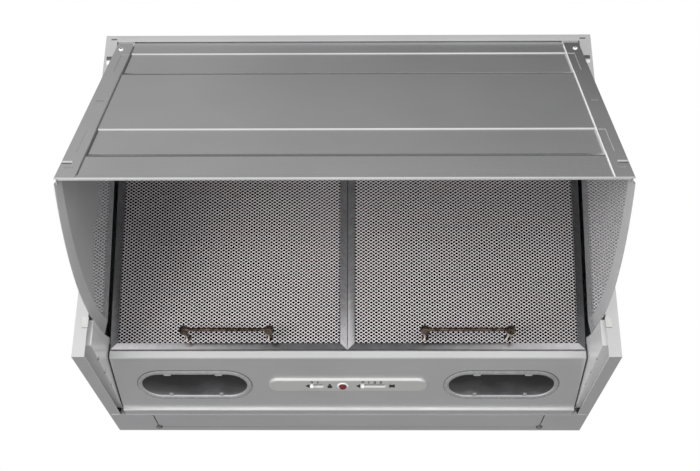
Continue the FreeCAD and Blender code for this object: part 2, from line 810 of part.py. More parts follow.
# Grease filter: channel frame with hinge eyes, meshes, core, handle. Drawn upright, then leaned.
def diamond_sheet(x0, x1, z0, z1, y, thick, columns, rows, holes):
    strand = mesh_strand.value
    pitch_x = (x1 - x0) / (columns + 0.5)
    pitch_z = (z1 - z0) / (rows + 0.5) / 2
    half_x = pitch_x / 2 - strand / 2
    half_z = pitch_z - strand / 2

    def loop(points):
        vectors = [FreeCAD.Vector(x, y, z) for x, z in points]
        return Part.makePolygon(vectors + vectors[:1])

    wires = [loop([(x0, z0), (x1, z0), (x1, z1), (x0, z1)])]
    for row in range(2 * rows - 1):
        for column in range(columns - row % 2):
            x = x0 + pitch_x * (column + 0.75 + (row % 2) / 2)
            z = z0 + pitch_z * (row + 1.5)
            if any(math.hypot(x - hx, z - hz) < half_x + screw_hole_radius.value * 1.5 for hx, hz in holes):
                continue
            wires.append(loop([(x - half_x, z), (x, z - half_z), (x + half_x, z), (x, z + half_z)]))
    plate = Part.makeFace(wires, "Part::FaceMakerBullseye").extrude(FreeCAD.Vector(0, thick, 0))
    for hx, hz in holes:
        start = FreeCAD.Vector(hx, y, hz)
        drill = Part.makeCylinder(screw_hole_radius.value, thick, start, FreeCAD.Vector(0, 1, 0))
        plate = plate.cut(drill)
    return plate


# The space in front of a frame whose face slopes from its rim down to its window.
def frame_recess(low_x, high_x, back):
    return wedge((low_x, high_x), (low_x + frame_bar, high_x - frame_bar), (back, back + frame_slope),
                 (0, filter_height), (frame_bar, filter_height - frame_bar))


def grease_filter(name, side):
    near = filter_middle_gap / 2
    low_x, high_x = span(side, near, filter_half)
    thick = filter_thickness
    outer = box(low_x, high_x, 0, thick, 0, filter_height)
    window = box(low_x + frame_bar, high_x - frame_bar, -cut_past, thick + cut_past,
                 frame_bar, filter_height - frame_bar)
    recess = frame_recess(low_x, high_x, Size(0, "0"))
    channel_space = box(low_x + frame_wall, high_x - frame_wall, frame_wall, thick - frame_wall,
                        frame_wall, filter_height - frame_wall)
    groove = cut(channel_space, [frame_recess(low_x, high_x, frame_wall)])
    eyes = []
    axis_y = thick / 2
    axis_z = filter_height + eye_rise
    reach = hook_width / 2 + hook_side_gap
    for place in (hook_x_in, hook_x_out):
        x = place * side
        for edge in (x - reach - eye_wall, x + reach):
            eyes.append(box(edge, edge + eye_wall, axis_y - eye_pin_radius, axis_y + eye_pin_radius,
                            filter_height - frame_wall, axis_z))
            eyes.append(rod("x", edge, axis_y, axis_z, eye_pin_radius + frame_wall, eye_wall))
        eyes.append(rod("x", x - reach, axis_y, axis_z, eye_pin_radius, reach * 2))
    middle = (filter_half + near) / 2 * side
    screw_places = [middle - handle_pitch / 2, middle + handle_pitch / 2]
    channel = cut(cut(outer, [recess]), [window, groove])
    keep(f"{name}_filter_frame", fuse([channel, *eyes]), filter_frame)

    edge = frame_wall.value + layer_gap.value
    x0 = low_x.value + edge
    x1 = high_x.value - edge
    z0 = edge
    z1 = filter_height.value - edge
    holes = [(x.value, handle_base_height.value) for x in screw_places]
    front = diamond_sheet(x0, x1, z0, z1, mesh_front.value, mesh_sheet.value, int(mesh_columns.value),
                          int(mesh_rows.value), holes)
    solid(f"{name}_filter_front_mesh", front, filter_frame)
    rear_y = thick.value - edge - mesh_sheet.value
    rear = diamond_sheet(x0, x1, z0, z1, rear_y, mesh_sheet.value, int(rear_mesh_columns.value),
                         int(rear_mesh_rows.value), holes)
    solid(f"{name}_filter_rear_mesh", rear, filter_frame)
    layers = layer_gap * 2 + mesh_sheet
    core_holes = []
    for x in screw_places:
        core_holes.append(rod("y", x, 0, handle_base_height, screw_hole_radius, thick))
    margin = frame_wall + layer_gap
    slab = box(low_x + margin, high_x - margin, frame_depth + layers, thick - frame_wall - layers,
               margin, filter_height - margin)
    keep(f"{name}_filter_core", cut(slab, core_holes), filter_frame)
    filter_handle(name, middle)
    screws = []
    for x in screw_places:
        start = mesh_front - handle_foot_thick / 2
        seat = thick - margin
        shank = rod("y", x, start, handle_base_height, handle_screw_radius, seat - start + handle_screw_past)
        head = rod("y", x, seat, handle_base_height, handle_screw_head, handle_screw_head_high)
        screws.append(fuse([shank, head]))
    keep(f"{name}_handle_screws", compound(screws), filter_frame)


# Turned pull: round feet on the front mesh, posts that widen outward, and a bar between two beads
def filter_handle(name, middle):
    base = handle_base_height
    half_bar = handle_pitch / 2 + handle_spread
    bar_z = base + handle_lift
    pieces = [handle_bar(middle, half_bar, bar_z)]
    for side in (-1, 1):
        foot_x = middle + handle_pitch / 2 * side
        top_x = middle + half_bar * side
        foot = rod("y", foot_x, mesh_front - handle_foot_thick, base, handle_foot_radius, handle_foot_thick)
        hole = rod("y", foot_x, mesh_front - handle_foot_thick / 2, base, handle_screw_radius,
                   handle_foot_thick)
        pieces.append(cut(foot, [hole]))
        start = FreeCAD.Vector(foot_x.value, mesh_front.value - handle_foot_thick.value, base.value)
        finish = FreeCAD.Vector(top_x.value, -handle_standoff.value, bar_z.value)
        post = doc.addObject("Part::Cone", "post")
        post.Radius1 = handle_neck_radius.value
        post.Radius2 = handle_knob_radius.value
        post.Height = (finish - start).Length
        post.Placement = FreeCAD.Placement(start, FreeCAD.Rotation(FreeCAD.Vector(0, 0, 1), finish - start))
        bind(post, "Radius1", handle_neck_radius)
        bind(post, "Radius2", handle_knob_radius)
        pieces.append(post)
    keep(f"{name}_filter_handle", fuse(pieces), filter_frame)


def handle_bar(middle, half_bar, bar_z):
    bar = handle_bar_radius
    knob = handle_knob_radius
    one_end = [
        (half_bar - knob, bar), (half_bar - knob / 2, knob), (half_bar + knob / 2, knob),
        (half_bar + knob, bar), (half_bar + knob, 0),
    ]
    other_end = [(-along, out) for along, out in reversed(one_end)]
    body = doc.addObject("PartDesign::Body", "bar")
    spin = body.newObject("PartDesign::Revolution", "turning")
    spin.Profile = outline(body, "XZ_Plane", other_end + one_end)
    spin.ReferenceAxis = (plane_of(body, "X_Axis"), [""])
    spin.Angle = 360
    place = FreeCAD.Vector(middle.value, -handle_standoff.value, bar_z.value)
    body.Placement = FreeCAD.Placement(place, FreeCAD.Rotation())
    for axis, amount in zip("xyz", (middle, -handle_standoff, bar_z)):
        bind(body, f".Placement.Base.{axis}", amount)
    doc.recompute()
    return body


# Rail across the top of the filters, hung from the casing top, with a hook under each hinge eye
def top_rail():
    axis = filter_frame.point(filter_thickness / 2, filter_height + eye_rise)
    front = axis[0] + rail_back
    high = casing_height - casing_sheet
    plate = box(-wall_inner, wall_inner, front, front + plenum_sheet, axis[1] - eye_rise, high)
    foot = box(-wall_inner, wall_inner, front, front + lap_flange, high - plenum_sheet, high)
    trough = eye_pin_radius + run_clearance
    pieces = [plate, foot]
    for place in (hook_x_in, hook_x_out):
        for side in (-1, 1):
            x0 = place * side - hook_width / 2
            x1 = place * side + hook_width / 2
            ring = rod("x", x0, axis[0], axis[1], trough + hook_wall, hook_width)
            bore = rod("x", x0 - cut_past, axis[0], axis[1], trough, hook_width + cut_past * 2)
            mouth = box(x0 - cut_past, x1 + cut_past, axis[0] - trough, axis[0] + trough,
                        axis[1], axis[1] + hook_mouth)
            arm = box(x0, x1, axis[0] + trough, front, axis[1] - hook_wall / 2, axis[1] + hook_wall / 2)
            pieces += [cut(ring, [bore, mouth]), arm]
    keep("filter_top_rail", fuse(pieces))


# Plenum: side walls with flanges behind the filters, and the floor over the lamp space
def plenum_wall(name, side):
    behind_filter = filter_thickness + seat_gap
    rail_front = filter_frame.point(filter_thickness / 2, filter_height + eye_rise)[0] + rail_back
    seat_low = handle_base_height + handle_screw_head + seat_low_gap
    low_y, low_z = filter_frame.point(behind_filter, seat_low)
    top_y, top_z = filter_frame.point(behind_filter, filter_height - frame_bar / 2)
    back_low_y, back_low_z = filter_frame.point(behind_filter + plenum_sheet, seat_low)
    back_top_y, back_top_z = filter_frame.point(behind_filter + plenum_sheet, filter_height - frame_bar / 2)
    high = casing_height - casing_sheet
    wall = run_along(
        [(low_y, low_z), (low_y, floor_height), (back_face, floor_height), (back_face, high),
         (rail_front, high), (rail_front, top_z), (top_y, top_z)],
        *span(side, wall_inner, wall_outer))
    seat = run_along([(low_y, low_z), (back_low_y, back_low_z), (back_top_y, back_top_z), (top_y, top_z)],
                     *span(side, wall_outer - plenum_flange, wall_outer))
    keep(f"{name}_plenum_wall", fuse([wall, seat]))


def plenum_floor():
    low = floor_height - plenum_sheet
    front = filter_frame.point(filter_thickness + seat_gap + panel_sheet, 0)[0] + floor_setback
    plate = box(-wall_outer, wall_outer, front, back_face, low, floor_height)
    foot = box(-wall_outer, wall_outer, back_face - plenum_sheet, back_face, floor_height - lap_flange, low)
    apron = box(-wall_outer, wall_outer, front, front + plenum_sheet, floor_height - lap_flange, low)
    stud = rod("z", capacitor_x, -capacitor_inset, low - cut_past, shaft_radius,
               plenum_sheet + cut_past * 2)
    keep("plenum_floor", cut(fuse([plate, foot, apron]), [stud]))


# Control panel: one bent sheet from behind the filters' lower edge, round the nose, to a stepped lip
def control_panel():
    to_filter = filter_frame.point
    to_panel = panel_frame.point
    stop = filter_thickness + seat_gap
    top = panel_upstand
    lip_y, lip_z = to_panel(panel_length, 0)
    end_y = -strip_depth - lip_gap
    outer_nose = to_panel(0, 0)
    upper_nose = to_filter(-nose_forward, -ledge_drop)
    profile = [
        (end_y, lip_rise), (end_y, lip_inset), (lip_y + lip_run, lip_inset), (lip_y, lip_z), outer_nose,
        upper_nose, to_filter(stop, -ledge_drop), to_filter(stop, top), to_filter(stop + panel_sheet, top),
        to_filter(stop + panel_sheet, -ledge_drop - panel_sheet),
        to_filter(panel_sheet - nose_forward, -ledge_drop - panel_sheet),
        to_panel(panel_sheet, panel_sheet), to_panel(panel_length + panel_sheet / 2, panel_sheet),
        (lip_y + lip_run + panel_sheet / 2, lip_inset + panel_sheet),
        (end_y - panel_sheet, lip_inset + panel_sheet), (end_y - panel_sheet, lip_rise),
    ]
    body = run_along(profile, -panel_half, panel_half)
    round_runs(body, [outer_nose, upper_nose], nose_round)
    tools = []
    for name, side in SIDES:
        tools.append(stadium(lamp_x * side, lamp_line, lens_length - lens_rim * 2,
                             lens_width - lens_rim * 2, -lens_depth, lens_depth))
    for start, travel in ((light_slot_x, light_travel), (speed_slot_x, speed_travel)):
        tools.append(box(start, start + slider_length + travel, control_line - slider_slot_width / 2,
                         control_line + slider_slot_width / 2, -lens_depth, lens_depth))
    tools.append(rod("z", indicator_x, control_line, -lens_depth, indicator_radius, lens_depth * 2))
    openings = fuse(tools)
    put(openings, panel_frame)
    keep("control_panel", cut(body, [openings]))


def lamp(name, side):
    x = lamp_x * side
    y = lamp_line
    open_length = lens_length - lens_rim * 2
    open_width = lens_width - lens_rim * 2
    rim = stadium(x, y, lens_length, lens_width, -lens_proud, 0)
    plug = stadium(x, y, open_length - lens_fit * 2, open_width - lens_fit * 2, -lens_proud / 2, lens_depth)
    hollow = stadium(x, y, open_length - lens_wall * 2, open_width - lens_wall * 2,
                     lens_proud / 2, lens_depth + cut_past)
    dish = stadium(x, y, window_length, window_width, -lens_proud - cut_past, lens_dish - lens_proud)
    keep(f"{name}_lamp_lens", cut(fuse([rim, plug]), [hollow, dish]), panel_frame)
    low = panel_sheet
    high = low + tray_height
    flange = stadium(x, y, open_length + tray_flange * 2, open_width + tray_flange * 2,
                     low, low + tray_wall)
    space_length = open_length + lens_fit * 2
    space_width = open_width + lens_fit * 2
    cup = stadium(x, y, space_length + tray_wall * 2, space_width + tray_wall * 2, low, high)
    space = stadium(x, y, space_length, space_width, low - cut_past, high - tray_wall)
    outer_end = lamp_x + open_length / 2 + lens_fit
    entry_far = outer_end + holder_end
    entry_start = span(side, outer_end - holder_radius, entry_far)[0]
    entry = rod("x", entry_start, y, bulb_height, holder_radius + run_clearance, holder_end + holder_radius)
    keep(f"{name}_lamp_tray", cut(fuse([flange, cup]), [space, entry]), panel_frame)
    holder_far = outer_end + tray_wall + holder_end
    holder_near = holder_far - holder_length
    bore_far = holder_far - holder_end
    bore = rod("x", span(side, holder_near - cut_past, bore_far)[0], y, bulb_height,
               bulb_cap_radius + run_clearance, holder_length - holder_end + cut_past)
    barrel = rod("x", span(side, holder_near, holder_far)[0], y, bulb_height, holder_radius, holder_length)
    lamp_holders.append(cut(barrel, [bore]))
    cap_far = bore_far - run_clearance
    neck = holder_near - bulb_neck
    glass_far = cap_far - bulb_length
    body = doc.addObject("PartDesign::Body", "bulb")
    turned = outline(body, "XZ_Plane", [
        (cap_far * side, 0), (cap_far * side, bulb_cap_radius), (neck * side, bulb_cap_radius),
        ((neck - bulb_radius) * side, bulb_radius), ((glass_far + bulb_radius * 1.4) * side, bulb_radius),
        ((glass_far + bulb_tip) * side, bulb_radius / 3), (glass_far * side, 0),
    ])
    spin = body.newObject("PartDesign::Revolution", "turning")
    spin.Profile = turned
    spin.ReferenceAxis = (plane_of(body, "X_Axis"), [""])
    spin.Angle = 360
    y_place, z_place = panel_frame.point(y, bulb_height)
    keep(f"{name}_bulb", body, Frame(y_place, z_place, panel_slope_angle, -1))


# Control strip with two sliders, an indicator and the switch block behind them
def controls():
    y = control_line
    slot = slider_slot_width / 2
    slab = stadium(0, y, control_length, control_width, -control_proud, 0)
    plate = bevel_rim(slab, -control_proud, control_bevel, control_bevel_drop)
    tools = []
    block_tools = []
    stem_end = slider_reach + stem_space
    for start, travel in ((light_slot_x, light_travel), (speed_slot_x, speed_travel)):
        finish = start + slider_length + travel
        tools.append(box(start, finish, y - slot, y + slot, -control_proud - cut_past, cut_past))
        block_tools.append(box(start, finish, y - slot, y + slot, 0, stem_end))
    tools.append(rod("z", indicator_x, y, -control_proud - cut_past, indicator_radius,
                     control_proud + cut_past * 2))
    block_tools.append(rod("z", indicator_x, y, 0, indicator_radius, stem_end))
    keep("control_strip", cut(plate, tools), panel_frame)
    block = box(-switch_length / 2, switch_length / 2, y - switch_width / 2, y + switch_width / 2,
                panel_sheet, panel_sheet + switch_height)
    keep("switch_block", cut(block, block_tools), panel_frame)
    gap = slider_clearance
    for name, start in (("light", light_slot_x), ("speed", speed_slot_x)):
        stem = box(start + gap, start + slider_length - gap, y - slot + gap, y + slot - gap,
                   -control_proud, slider_reach)
        cap = rod("z", start + slider_length / 2, y, -control_proud - slider_proud, slot - gap, slider_proud)
        keep(f"{name}_slider", fuse([stem, cap]), panel_frame)
    dome = rod("z", indicator_x, y, -control_proud - indicator_rim, indicator_radius * 0.7, indicator_rim,
               indicator_radius - gap / 2)
    stem = rod("z", indicator_x, y, -control_proud, indicator_radius - gap / 2,
               control_proud + slider_reach)
    keep("indicator_lens", fuse([dome, stem]), panel_frame)


# Blower scroll: three quarter arcs of growing radius, then straight up to the outlet
def scroll_loop(grow, top):
    cy = behind(blower_depth).value
    cz = blower_height.value
    step = scroll_step.value
    radius = scroll_radius.value + grow

    def arc(center_y, center_z, r, start):
        points = []
        for k in range(3):
            turn = math.radians(start + 45 * k)
            points.append(FreeCAD.Vector(0, center_y + r * math.cos(turn), center_z + r * math.sin(turn)))
        return Part.Arc(*points).toShape()

    tongue = FreeCAD.Vector(0, cy - grow, cz + math.sqrt(radius ** 2 - grow ** 2))
    first_mid = math.radians(135)
    front = FreeCAD.Vector(0, cy - radius, cz)
    middle = FreeCAD.Vector(0, cy + radius * math.cos(first_mid), cz + radius * math.sin(first_mid))
    rear = FreeCAD.Vector(0, cy + step + radius + 2 * step, cz + step)
    edges = [
        Part.LineSegment(FreeCAD.Vector(0, tongue.y, top), tongue).toShape(),
        Part.Arc(tongue, middle, front).toShape(),
        arc(cy + step, cz, radius + step, 180),
        arc(cy + step, cz + step, radius + 2 * step, 270),
        Part.LineSegment(rear, FreeCAD.Vector(0, rear.y, top)).toShape(),
        Part.LineSegment(FreeCAD.Vector(0, rear.y, top), FreeCAD.Vector(0, tongue.y, top)).toShape(),
    ]
    return Part.Face(Part.Wire(edges))


def blower():
    top = (casing_height - casing_sheet).value
    width = blower_width.value
    wall = scroll_wall.value
    run = FreeCAD.Vector(width, 0, 0)
    outside = scroll_loop(wall, top).extrude(run)
    space = scroll_loop(0, top + cut_past.value).extrude(run)
    wrapper = outside.cut(space)
    wrapper.translate(FreeCAD.Vector(-width / 2, 0, 0))
    solid("blower_scroll", wrapper)
    eye = inlet_radius.value
    lip = inlet_lip.value
    for name, side in SIDES:
        outward = ACROSS * side
        center = FreeCAD.Vector(width / 2 * side, behind(blower_depth).value, blower_height.value)
        plate = scroll_loop(wall, top).extrude(outward * wall)
        plate.translate(FreeCAD.Vector(width / 2 * side, 0, 0))
        hole = Part.makeCylinder(eye, wall, center, outward)
        flare = Part.makeCone(eye + wall, eye + wall + lip, lip, center, outward)
        throat = Part.makeCone(eye, eye + lip, lip, center, outward)
        inlet = plate.cut(hole).fuse(flare).cut(throat)
        solid(f"blower_{name}_cheek", inlet.removeSplitter())


# Impeller: forward-curved blades between two end rings, a middle disc with its hub, and the shaft
def impeller():
    cy = behind(blower_depth).value
    cz = blower_height.value
    half_width = wheel_width.value / 2
    outer = wheel_radius.value
    inner = wheel_inner_radius.value

    def tube(start, length, big, small):
        base = FreeCAD.Vector(start, 0, 0)
        ring = Part.makeCylinder(big, length, base, ACROSS)
        return ring.cut(Part.makeCylinder(small, length, base, ACROSS))

    def at(radius, degrees):
        turn = math.radians(degrees)
        return FreeCAD.Vector(seat - half_width, radius * math.cos(turn), radius * math.sin(turn))

    seat = blade_seat.value
    hub_half = wheel_hub_length.value / 2
    bore = shaft_radius.value + shaft_fit.value
    pieces = [
        tube(half_width - wheel_ring.value, wheel_ring.value, outer, inner),
        tube(-wheel_disc.value / 2, wheel_disc.value, outer - seat, bore),
        tube(-hub_half, hub_half * 2, wheel_hub_radius.value, bore),
    ]
    thick = math.degrees(blade_thick.value / outer)
    sweep = blade_sweep_angle.value
    root = inner + seat
    tip = outer - seat
    middle = (root + tip) / 2
    stations = ((root, 0), (middle, sweep / 4), (tip, sweep))
    count = int(blade_count.value)
    for k in range(count):
        turn = 360 / count * k
        face = [at(radius, turn + ahead) for radius, ahead in stations]
        rear = [at(radius, turn + ahead + thick) for radius, ahead in reversed(stations)]
        blade = Part.Face(Part.makePolygon(face + rear + face[:1]))
        pieces.append(blade.extrude(ACROSS * (2 * half_width - 2 * seat)))
    wheel = tube(-half_width, wheel_ring.value, outer, inner).multiFuse(pieces)
    wheel.translate(FreeCAD.Vector(0, cy, cz))
    solid("impeller", wheel)
    y = behind(blower_depth)
    shaft_start = -wheel_hub_length / 2 - shaft_past_hub
    shaft_end = blower_half + motor_gap + shaft_into_motor
    keep("impeller_shaft", rod("x", shaft_start, y, blower_height, shaft_radius, shaft_end - shaft_start))


def motor():
    y = behind(blower_depth)
    z = blower_height
    start = blower_half + motor_gap
    near_cap = rod("x", start, y, z, motor_cap_radius, motor_cap_length)
    barrel = rod("x", start + motor_cap_length, y, z, motor_radius, motor_length)
    far_cap = rod("x", start + motor_cap_length + motor_length, y, z, motor_cap_radius, motor_cap_length)
    bore = rod("x", start - cut_past, y, z, shaft_radius + run_clearance,
               shaft_into_motor + cut_past + shaft_end_gap)
    keep("motor", cut(fuse([near_cap, barrel, far_cap]), [bore]))
    cheek = blower_half + scroll_wall
    ring_start = start + motor_cap_length + motor_length / 3
    band = cut(rod("x", ring_start, y, z, motor_radius + arm_thick, arm_width),
               [rod("x", ring_start - cut_past, y, z, motor_radius, arm_width + cut_past * 2)])
    pieces = [band]
    for k in range(3):
        arm = box(0, arm_thick, -arm_width / 2, arm_width / 2, motor_radius + arm_thick / 2,
                  arm_foot_radius + arm_thick)
        leg = box(0, ring_start + arm_thick - cheek, -arm_width / 2, arm_width / 2, arm_foot_radius,
                  arm_foot_radius + arm_thick)
        arm.setExpression(".Placement.Base.x", (ring_start - cheek).text)
        spoke = fuse([arm, leg])
        spoke.Placement = FreeCAD.Placement(
            FreeCAD.Vector(cheek.value, y.value, z.value), FreeCAD.Rotation(ACROSS, 60 + 120 * k))
        bind(spoke, ".Placement.Base.x", cheek)
        bind(spoke, ".Placement.Base.y", y)
        bind(spoke, ".Placement.Base.z", z)
        pieces.append(spoke)
    keep("motor_bracket", fuse(pieces))
    can = rod("z", capacitor_x, -capacitor_inset, floor_height, capacitor_radius, capacitor_height)
    stud = rod("z", capacitor_x, -capacitor_inset, floor_height - capacitor_stud, shaft_radius,
               capacitor_stud + cut_past)
    keep("capacitor", fuse([can, stud]))


# Outlet collar on the casing top, with two half-round flaps that close it
def outlet():
    y = outlet_y
    z = casing_height
    inner = outlet_radius - outlet_wall
    tube = rod("z", 0, y, z, outlet_radius, outlet_height)
    flange = rod("z", 0, y, z, outlet_radius + outlet_flange, outlet_flange_thick)
    bore = rod("z", 0, y, z - cut_past, inner - flap_ledge, outlet_height + cut_past * 2)
    upper = rod("z", 0, y, flap_height, inner, outlet_height)
    holes = []
    axis_z = flap_height + seat_gap + flap_pin_radius
    for offset in (-flap_axis_offset, flap_axis_offset):
        holes.append(rod("x", -outlet_radius - cut_past, y + offset, axis_z, flap_pin_radius + run_clearance,
                         outlet_radius * 2 + cut_past * 2))
    screws = []
    ring = outlet_radius + outlet_flange / 2
    reach = ring * math.sqrt(0.5)
    for sx in (-1, 1):
        for sy in (-1, 1):
            x = reach * sx
            place = y + reach * sy
            holes.append(rod("z", x, place, z - cut_past, collar_screw_radius,
                             outlet_flange_thick + cut_past * 2))
            head = rod("z", x, place, z + outlet_flange_thick, collar_screw_head, collar_screw_radius)
            shank = rod("z", x, place, z, collar_screw_radius, outlet_flange_thick + collar_screw_radius / 2)
            screws.append(fuse([head, shank]))
    keep("outlet_collar", cut(fuse([tube, flange]), [bore, upper] + holes))
    keep("collar_screws", compound(screws))
    for name, side in (("front", -1), ("rear", 1)):
        axis_y = y + flap_axis_offset * side
        disc = rod("z", 0, y, flap_height + seat_gap, inner - flap_side_gap, flap_thick)
        far = outlet_radius * side
        low_y, high_y = (far + y, axis_y) if side < 0 else (axis_y, far + y)
        half_disc = doc.addObject("Part::Common", "half_disc")
        half_disc.Base = disc
        half_disc.Tool = box(-outlet_radius, outlet_radius, low_y, high_y, z, z + outlet_height)
        pin = rod("x", -outlet_radius + outlet_wall / 2, axis_y, axis_z, flap_pin_radius,
                  outlet_radius * 2 - outlet_wall)
        keep(f"{name}_flap", fuse([half_disc, pin]))


# Mains entry: gland through the top, terminal box on the back, and the switch that the canopy works
def mains():
    z = casing_height
    lower = rod("z", gland_x, -gland_inset, z - gland_height / 2, gland_radius,
                gland_height / 2 + cut_past)
    nut = doc.addObject("Part::Prism", "nut")
    nut.Polygon = 6
    nut.Circumradius = gland_radius.value * 1.4
    nut.Height = gland_height.value / 3
    bind(nut, "Circumradius", gland_radius * 1.4)
    bind(nut, "Height", gland_height / 3)
    nut.Placement = FreeCAD.Placement(
        FreeCAD.Vector(gland_x.value, -gland_inset.value, z.value), FreeCAD.Rotation())
    bind(nut, ".Placement.Base.x", gland_x)
    bind(nut, ".Placement.Base.y", -gland_inset)
    bind(nut, ".Placement.Base.z", z)
    cap = rod("z", gland_x, -gland_inset, z + gland_height / 3, gland_radius * 1.15, gland_height / 3,
              gland_radius * 0.8)
    bore = rod("z", gland_x, -gland_inset, z - gland_height, gland_bore, gland_height * 3)
    keep("cable_gland", cut(fuse([lower, nut, cap]), [bore]))
    left = gland_x - terminal_width / 2
    low = casing_height - terminal_drop
    high = low + terminal_height
    case = box(left, left + terminal_width, back_face - terminal_thick, back_face, low, high)
    entry = rod("z", gland_x, back_face - terminal_thick / 2, high - terminal_entry, gland_radius,
                terminal_entry + cut_past)
    keep("terminal_box", cut(case, [entry]))
    y = canopy_frame.y + switch_arm * sine(switch_angle)
    middle = pivot_height - switch_arm * cosine(switch_angle)
    reach = canopy_switch_size / 2
    body_near = cheek_outer + canopy_switch_gap + plunger_stroke
    body = box(body_near, inside, y - reach, y + reach, middle - reach / 2, middle + reach / 2)
    plunger = rod("x", cheek_outer + canopy_switch_gap, y, middle, plunger_radius,
                  plunger_stroke + cut_past)
    keep("canopy_switch", fuse([body, plunger]))


def build():
    for name, side in SIDES:
        casing_side(side)
    casing_top()
    casing_back()
    rear_strip()
    canopy_panel()
    for name, side in SIDES:
        inner_plate(name, side)
        canopy_cheek(name, side)
        hinge(name, side)
        glide(name, side)
        grease_filter(name, side)
        plenum_wall(name, side)
        lamp(name, side)
    keep("hinge_pins", compound(hinge_pins))
    keep("hinge_bushes", compound(hinge_bushes))
    keep("canopy_glides", compound(glides))
    keep("lamp_holders", compound(lamp_holders), panel_frame)
    top_rail()
    plenum_floor()
    control_panel()
    controls()
    blower()
    impeller()
    motor()
    outlet()
    mains()
    doc.recompute()


def check_and_write():
    for thing in doc.Objects:
        if "Invalid" in thing.State or "Error" in thing.State:
            raise RuntimeError(f"{thing.Label} did not build: {thing.State}")
    for label, thing in nodes.items():
        if thing.Label != label:
            raise RuntimeError(f"two pieces want the name {label}")
        if thing.Shape.isNull() or not thing.Shape.isValid():
            raise RuntimeError(f"{label} has no valid shape")
    os.makedirs("parts", exist_ok=True)
    for label, thing in nodes.items():
        thing.Shape.exportStep(f"parts/{label}.step")
    print(len(nodes), "pieces written")


build()
check_and_write()
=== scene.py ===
import json
import math

import bmesh
import bpy
from mathutils import Matrix, Vector


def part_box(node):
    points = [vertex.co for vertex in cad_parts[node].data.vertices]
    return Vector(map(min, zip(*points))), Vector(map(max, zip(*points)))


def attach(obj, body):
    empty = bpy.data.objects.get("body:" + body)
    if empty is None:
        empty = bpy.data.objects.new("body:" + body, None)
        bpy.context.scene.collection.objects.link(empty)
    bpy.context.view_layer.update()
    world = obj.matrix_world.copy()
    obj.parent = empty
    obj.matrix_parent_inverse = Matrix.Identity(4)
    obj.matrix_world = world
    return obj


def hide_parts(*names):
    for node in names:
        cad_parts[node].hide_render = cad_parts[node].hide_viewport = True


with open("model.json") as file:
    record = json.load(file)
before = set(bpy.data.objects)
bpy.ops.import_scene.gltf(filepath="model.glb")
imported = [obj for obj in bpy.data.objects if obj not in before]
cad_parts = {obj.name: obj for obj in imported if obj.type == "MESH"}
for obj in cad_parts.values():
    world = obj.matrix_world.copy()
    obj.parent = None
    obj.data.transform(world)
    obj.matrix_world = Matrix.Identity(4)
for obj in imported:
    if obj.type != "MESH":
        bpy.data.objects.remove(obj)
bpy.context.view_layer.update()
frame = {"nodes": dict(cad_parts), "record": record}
nodes = frame["nodes"]
mm = 0.001
micron = 6  # decimal places of a metre at which two places count as one
xAxis = Vector((1, 0, 0))
sides = {"left": -1, "right": 1}
print("frame loaded:", len(nodes), "nodes")


# small helpers for node trees
def addNode(tree, kind, inputs=None, **settings):
    node = tree.nodes.new(kind)
    for key, value in settings.items():
        setattr(node, key, value)
    for key, value in (inputs or {}).items():
        node.inputs[key].default_value = value
    return node


def mathNode(tree, operation, *values):
    node = addNode(tree, "ShaderNodeMath", operation=operation)
    for socket, value in zip(node.inputs, values):
        if isinstance(value, (int, float)):
            socket.default_value = value
        else:
            tree.links.new(value, socket)
    return node.outputs[0]


def newMaterial(name):
    material = bpy.data.materials.new(name)
    material.use_nodes = True
    tree = material.node_tree
    return material, tree, tree.nodes["Principled BSDF"]


def objectNoise(tree, stretch, scale, detail=3.0, rough=0.5):
    coords = addNode(tree, "ShaderNodeTexCoord")
    mapping = addNode(tree, "ShaderNodeMapping", {"Scale": stretch})
    noise = addNode(tree, "ShaderNodeTexNoise", {"Scale": scale, "Detail": detail, "Roughness": rough})
    tree.links.new(coords.outputs["Object"], mapping.inputs["Vector"])
    tree.links.new(mapping.outputs["Vector"], noise.inputs["Vector"])
    return noise.outputs["Fac"]


# x, y or z of the object's points, or of its normals
def axisOf(tree, source, axis):
    coords = addNode(tree, "ShaderNodeTexCoord")
    parts = addNode(tree, "ShaderNodeSeparateXYZ")
    tree.links.new(coords.outputs[source], parts.inputs["Vector"])
    return parts.outputs[axis]


def colourBetween(tree, factor, dark, light, low=0.3, high=0.7):
    ramp = addNode(tree, "ShaderNodeValToRGB")
    ramp.color_ramp.elements[0].position = low
    ramp.color_ramp.elements[0].color = (*dark, 1)
    ramp.color_ramp.elements[1].position = high
    ramp.color_ramp.elements[1].color = (*light, 1)
    tree.links.new(factor, ramp.inputs["Fac"])
    return ramp.outputs["Color"]


# a ramp of greys, each stop a place and its grey
def greyRamp(tree, factor, stops, tint=(1, 1, 1)):
    ramp = addNode(tree, "ShaderNodeValToRGB")
    elements = ramp.color_ramp.elements
    for k, (place, grey) in enumerate(stops):
        stop = elements[k] if k < len(elements) else elements.new(place)
        stop.position = place
        stop.color = (*(grey * share for share in tint), 1)
    tree.links.new(factor, ramp.inputs["Fac"])
    return ramp.outputs["Color"]


def spread(tree, factor, low, high):
    node = addNode(tree, "ShaderNodeMapRange", {"To Min": low, "To Max": high})
    tree.links.new(factor, node.inputs["Value"])
    return node.outputs["Result"]


def within(tree, value, start, end):
    node = addNode(tree, "ShaderNodeMapRange", {"From Min": start, "From Max": end})
    tree.links.new(value, node.inputs["Value"])
    return node.outputs["Result"]


def addBump(tree, shader, height, strength, distance):
    bump = addNode(tree, "ShaderNodeBump", {"Strength": strength, "Distance": distance})
    tree.links.new(height, bump.inputs["Height"])
    tree.links.new(bump.outputs["Normal"], shader.inputs["Normal"])


# one value on the faces that look to the front, another on those that look to the side
def sideways(tree, front, side):
    return spread(tree, mathNode(tree, "ABSOLUTE", axisOf(tree, "Normal", "X")), front, side)


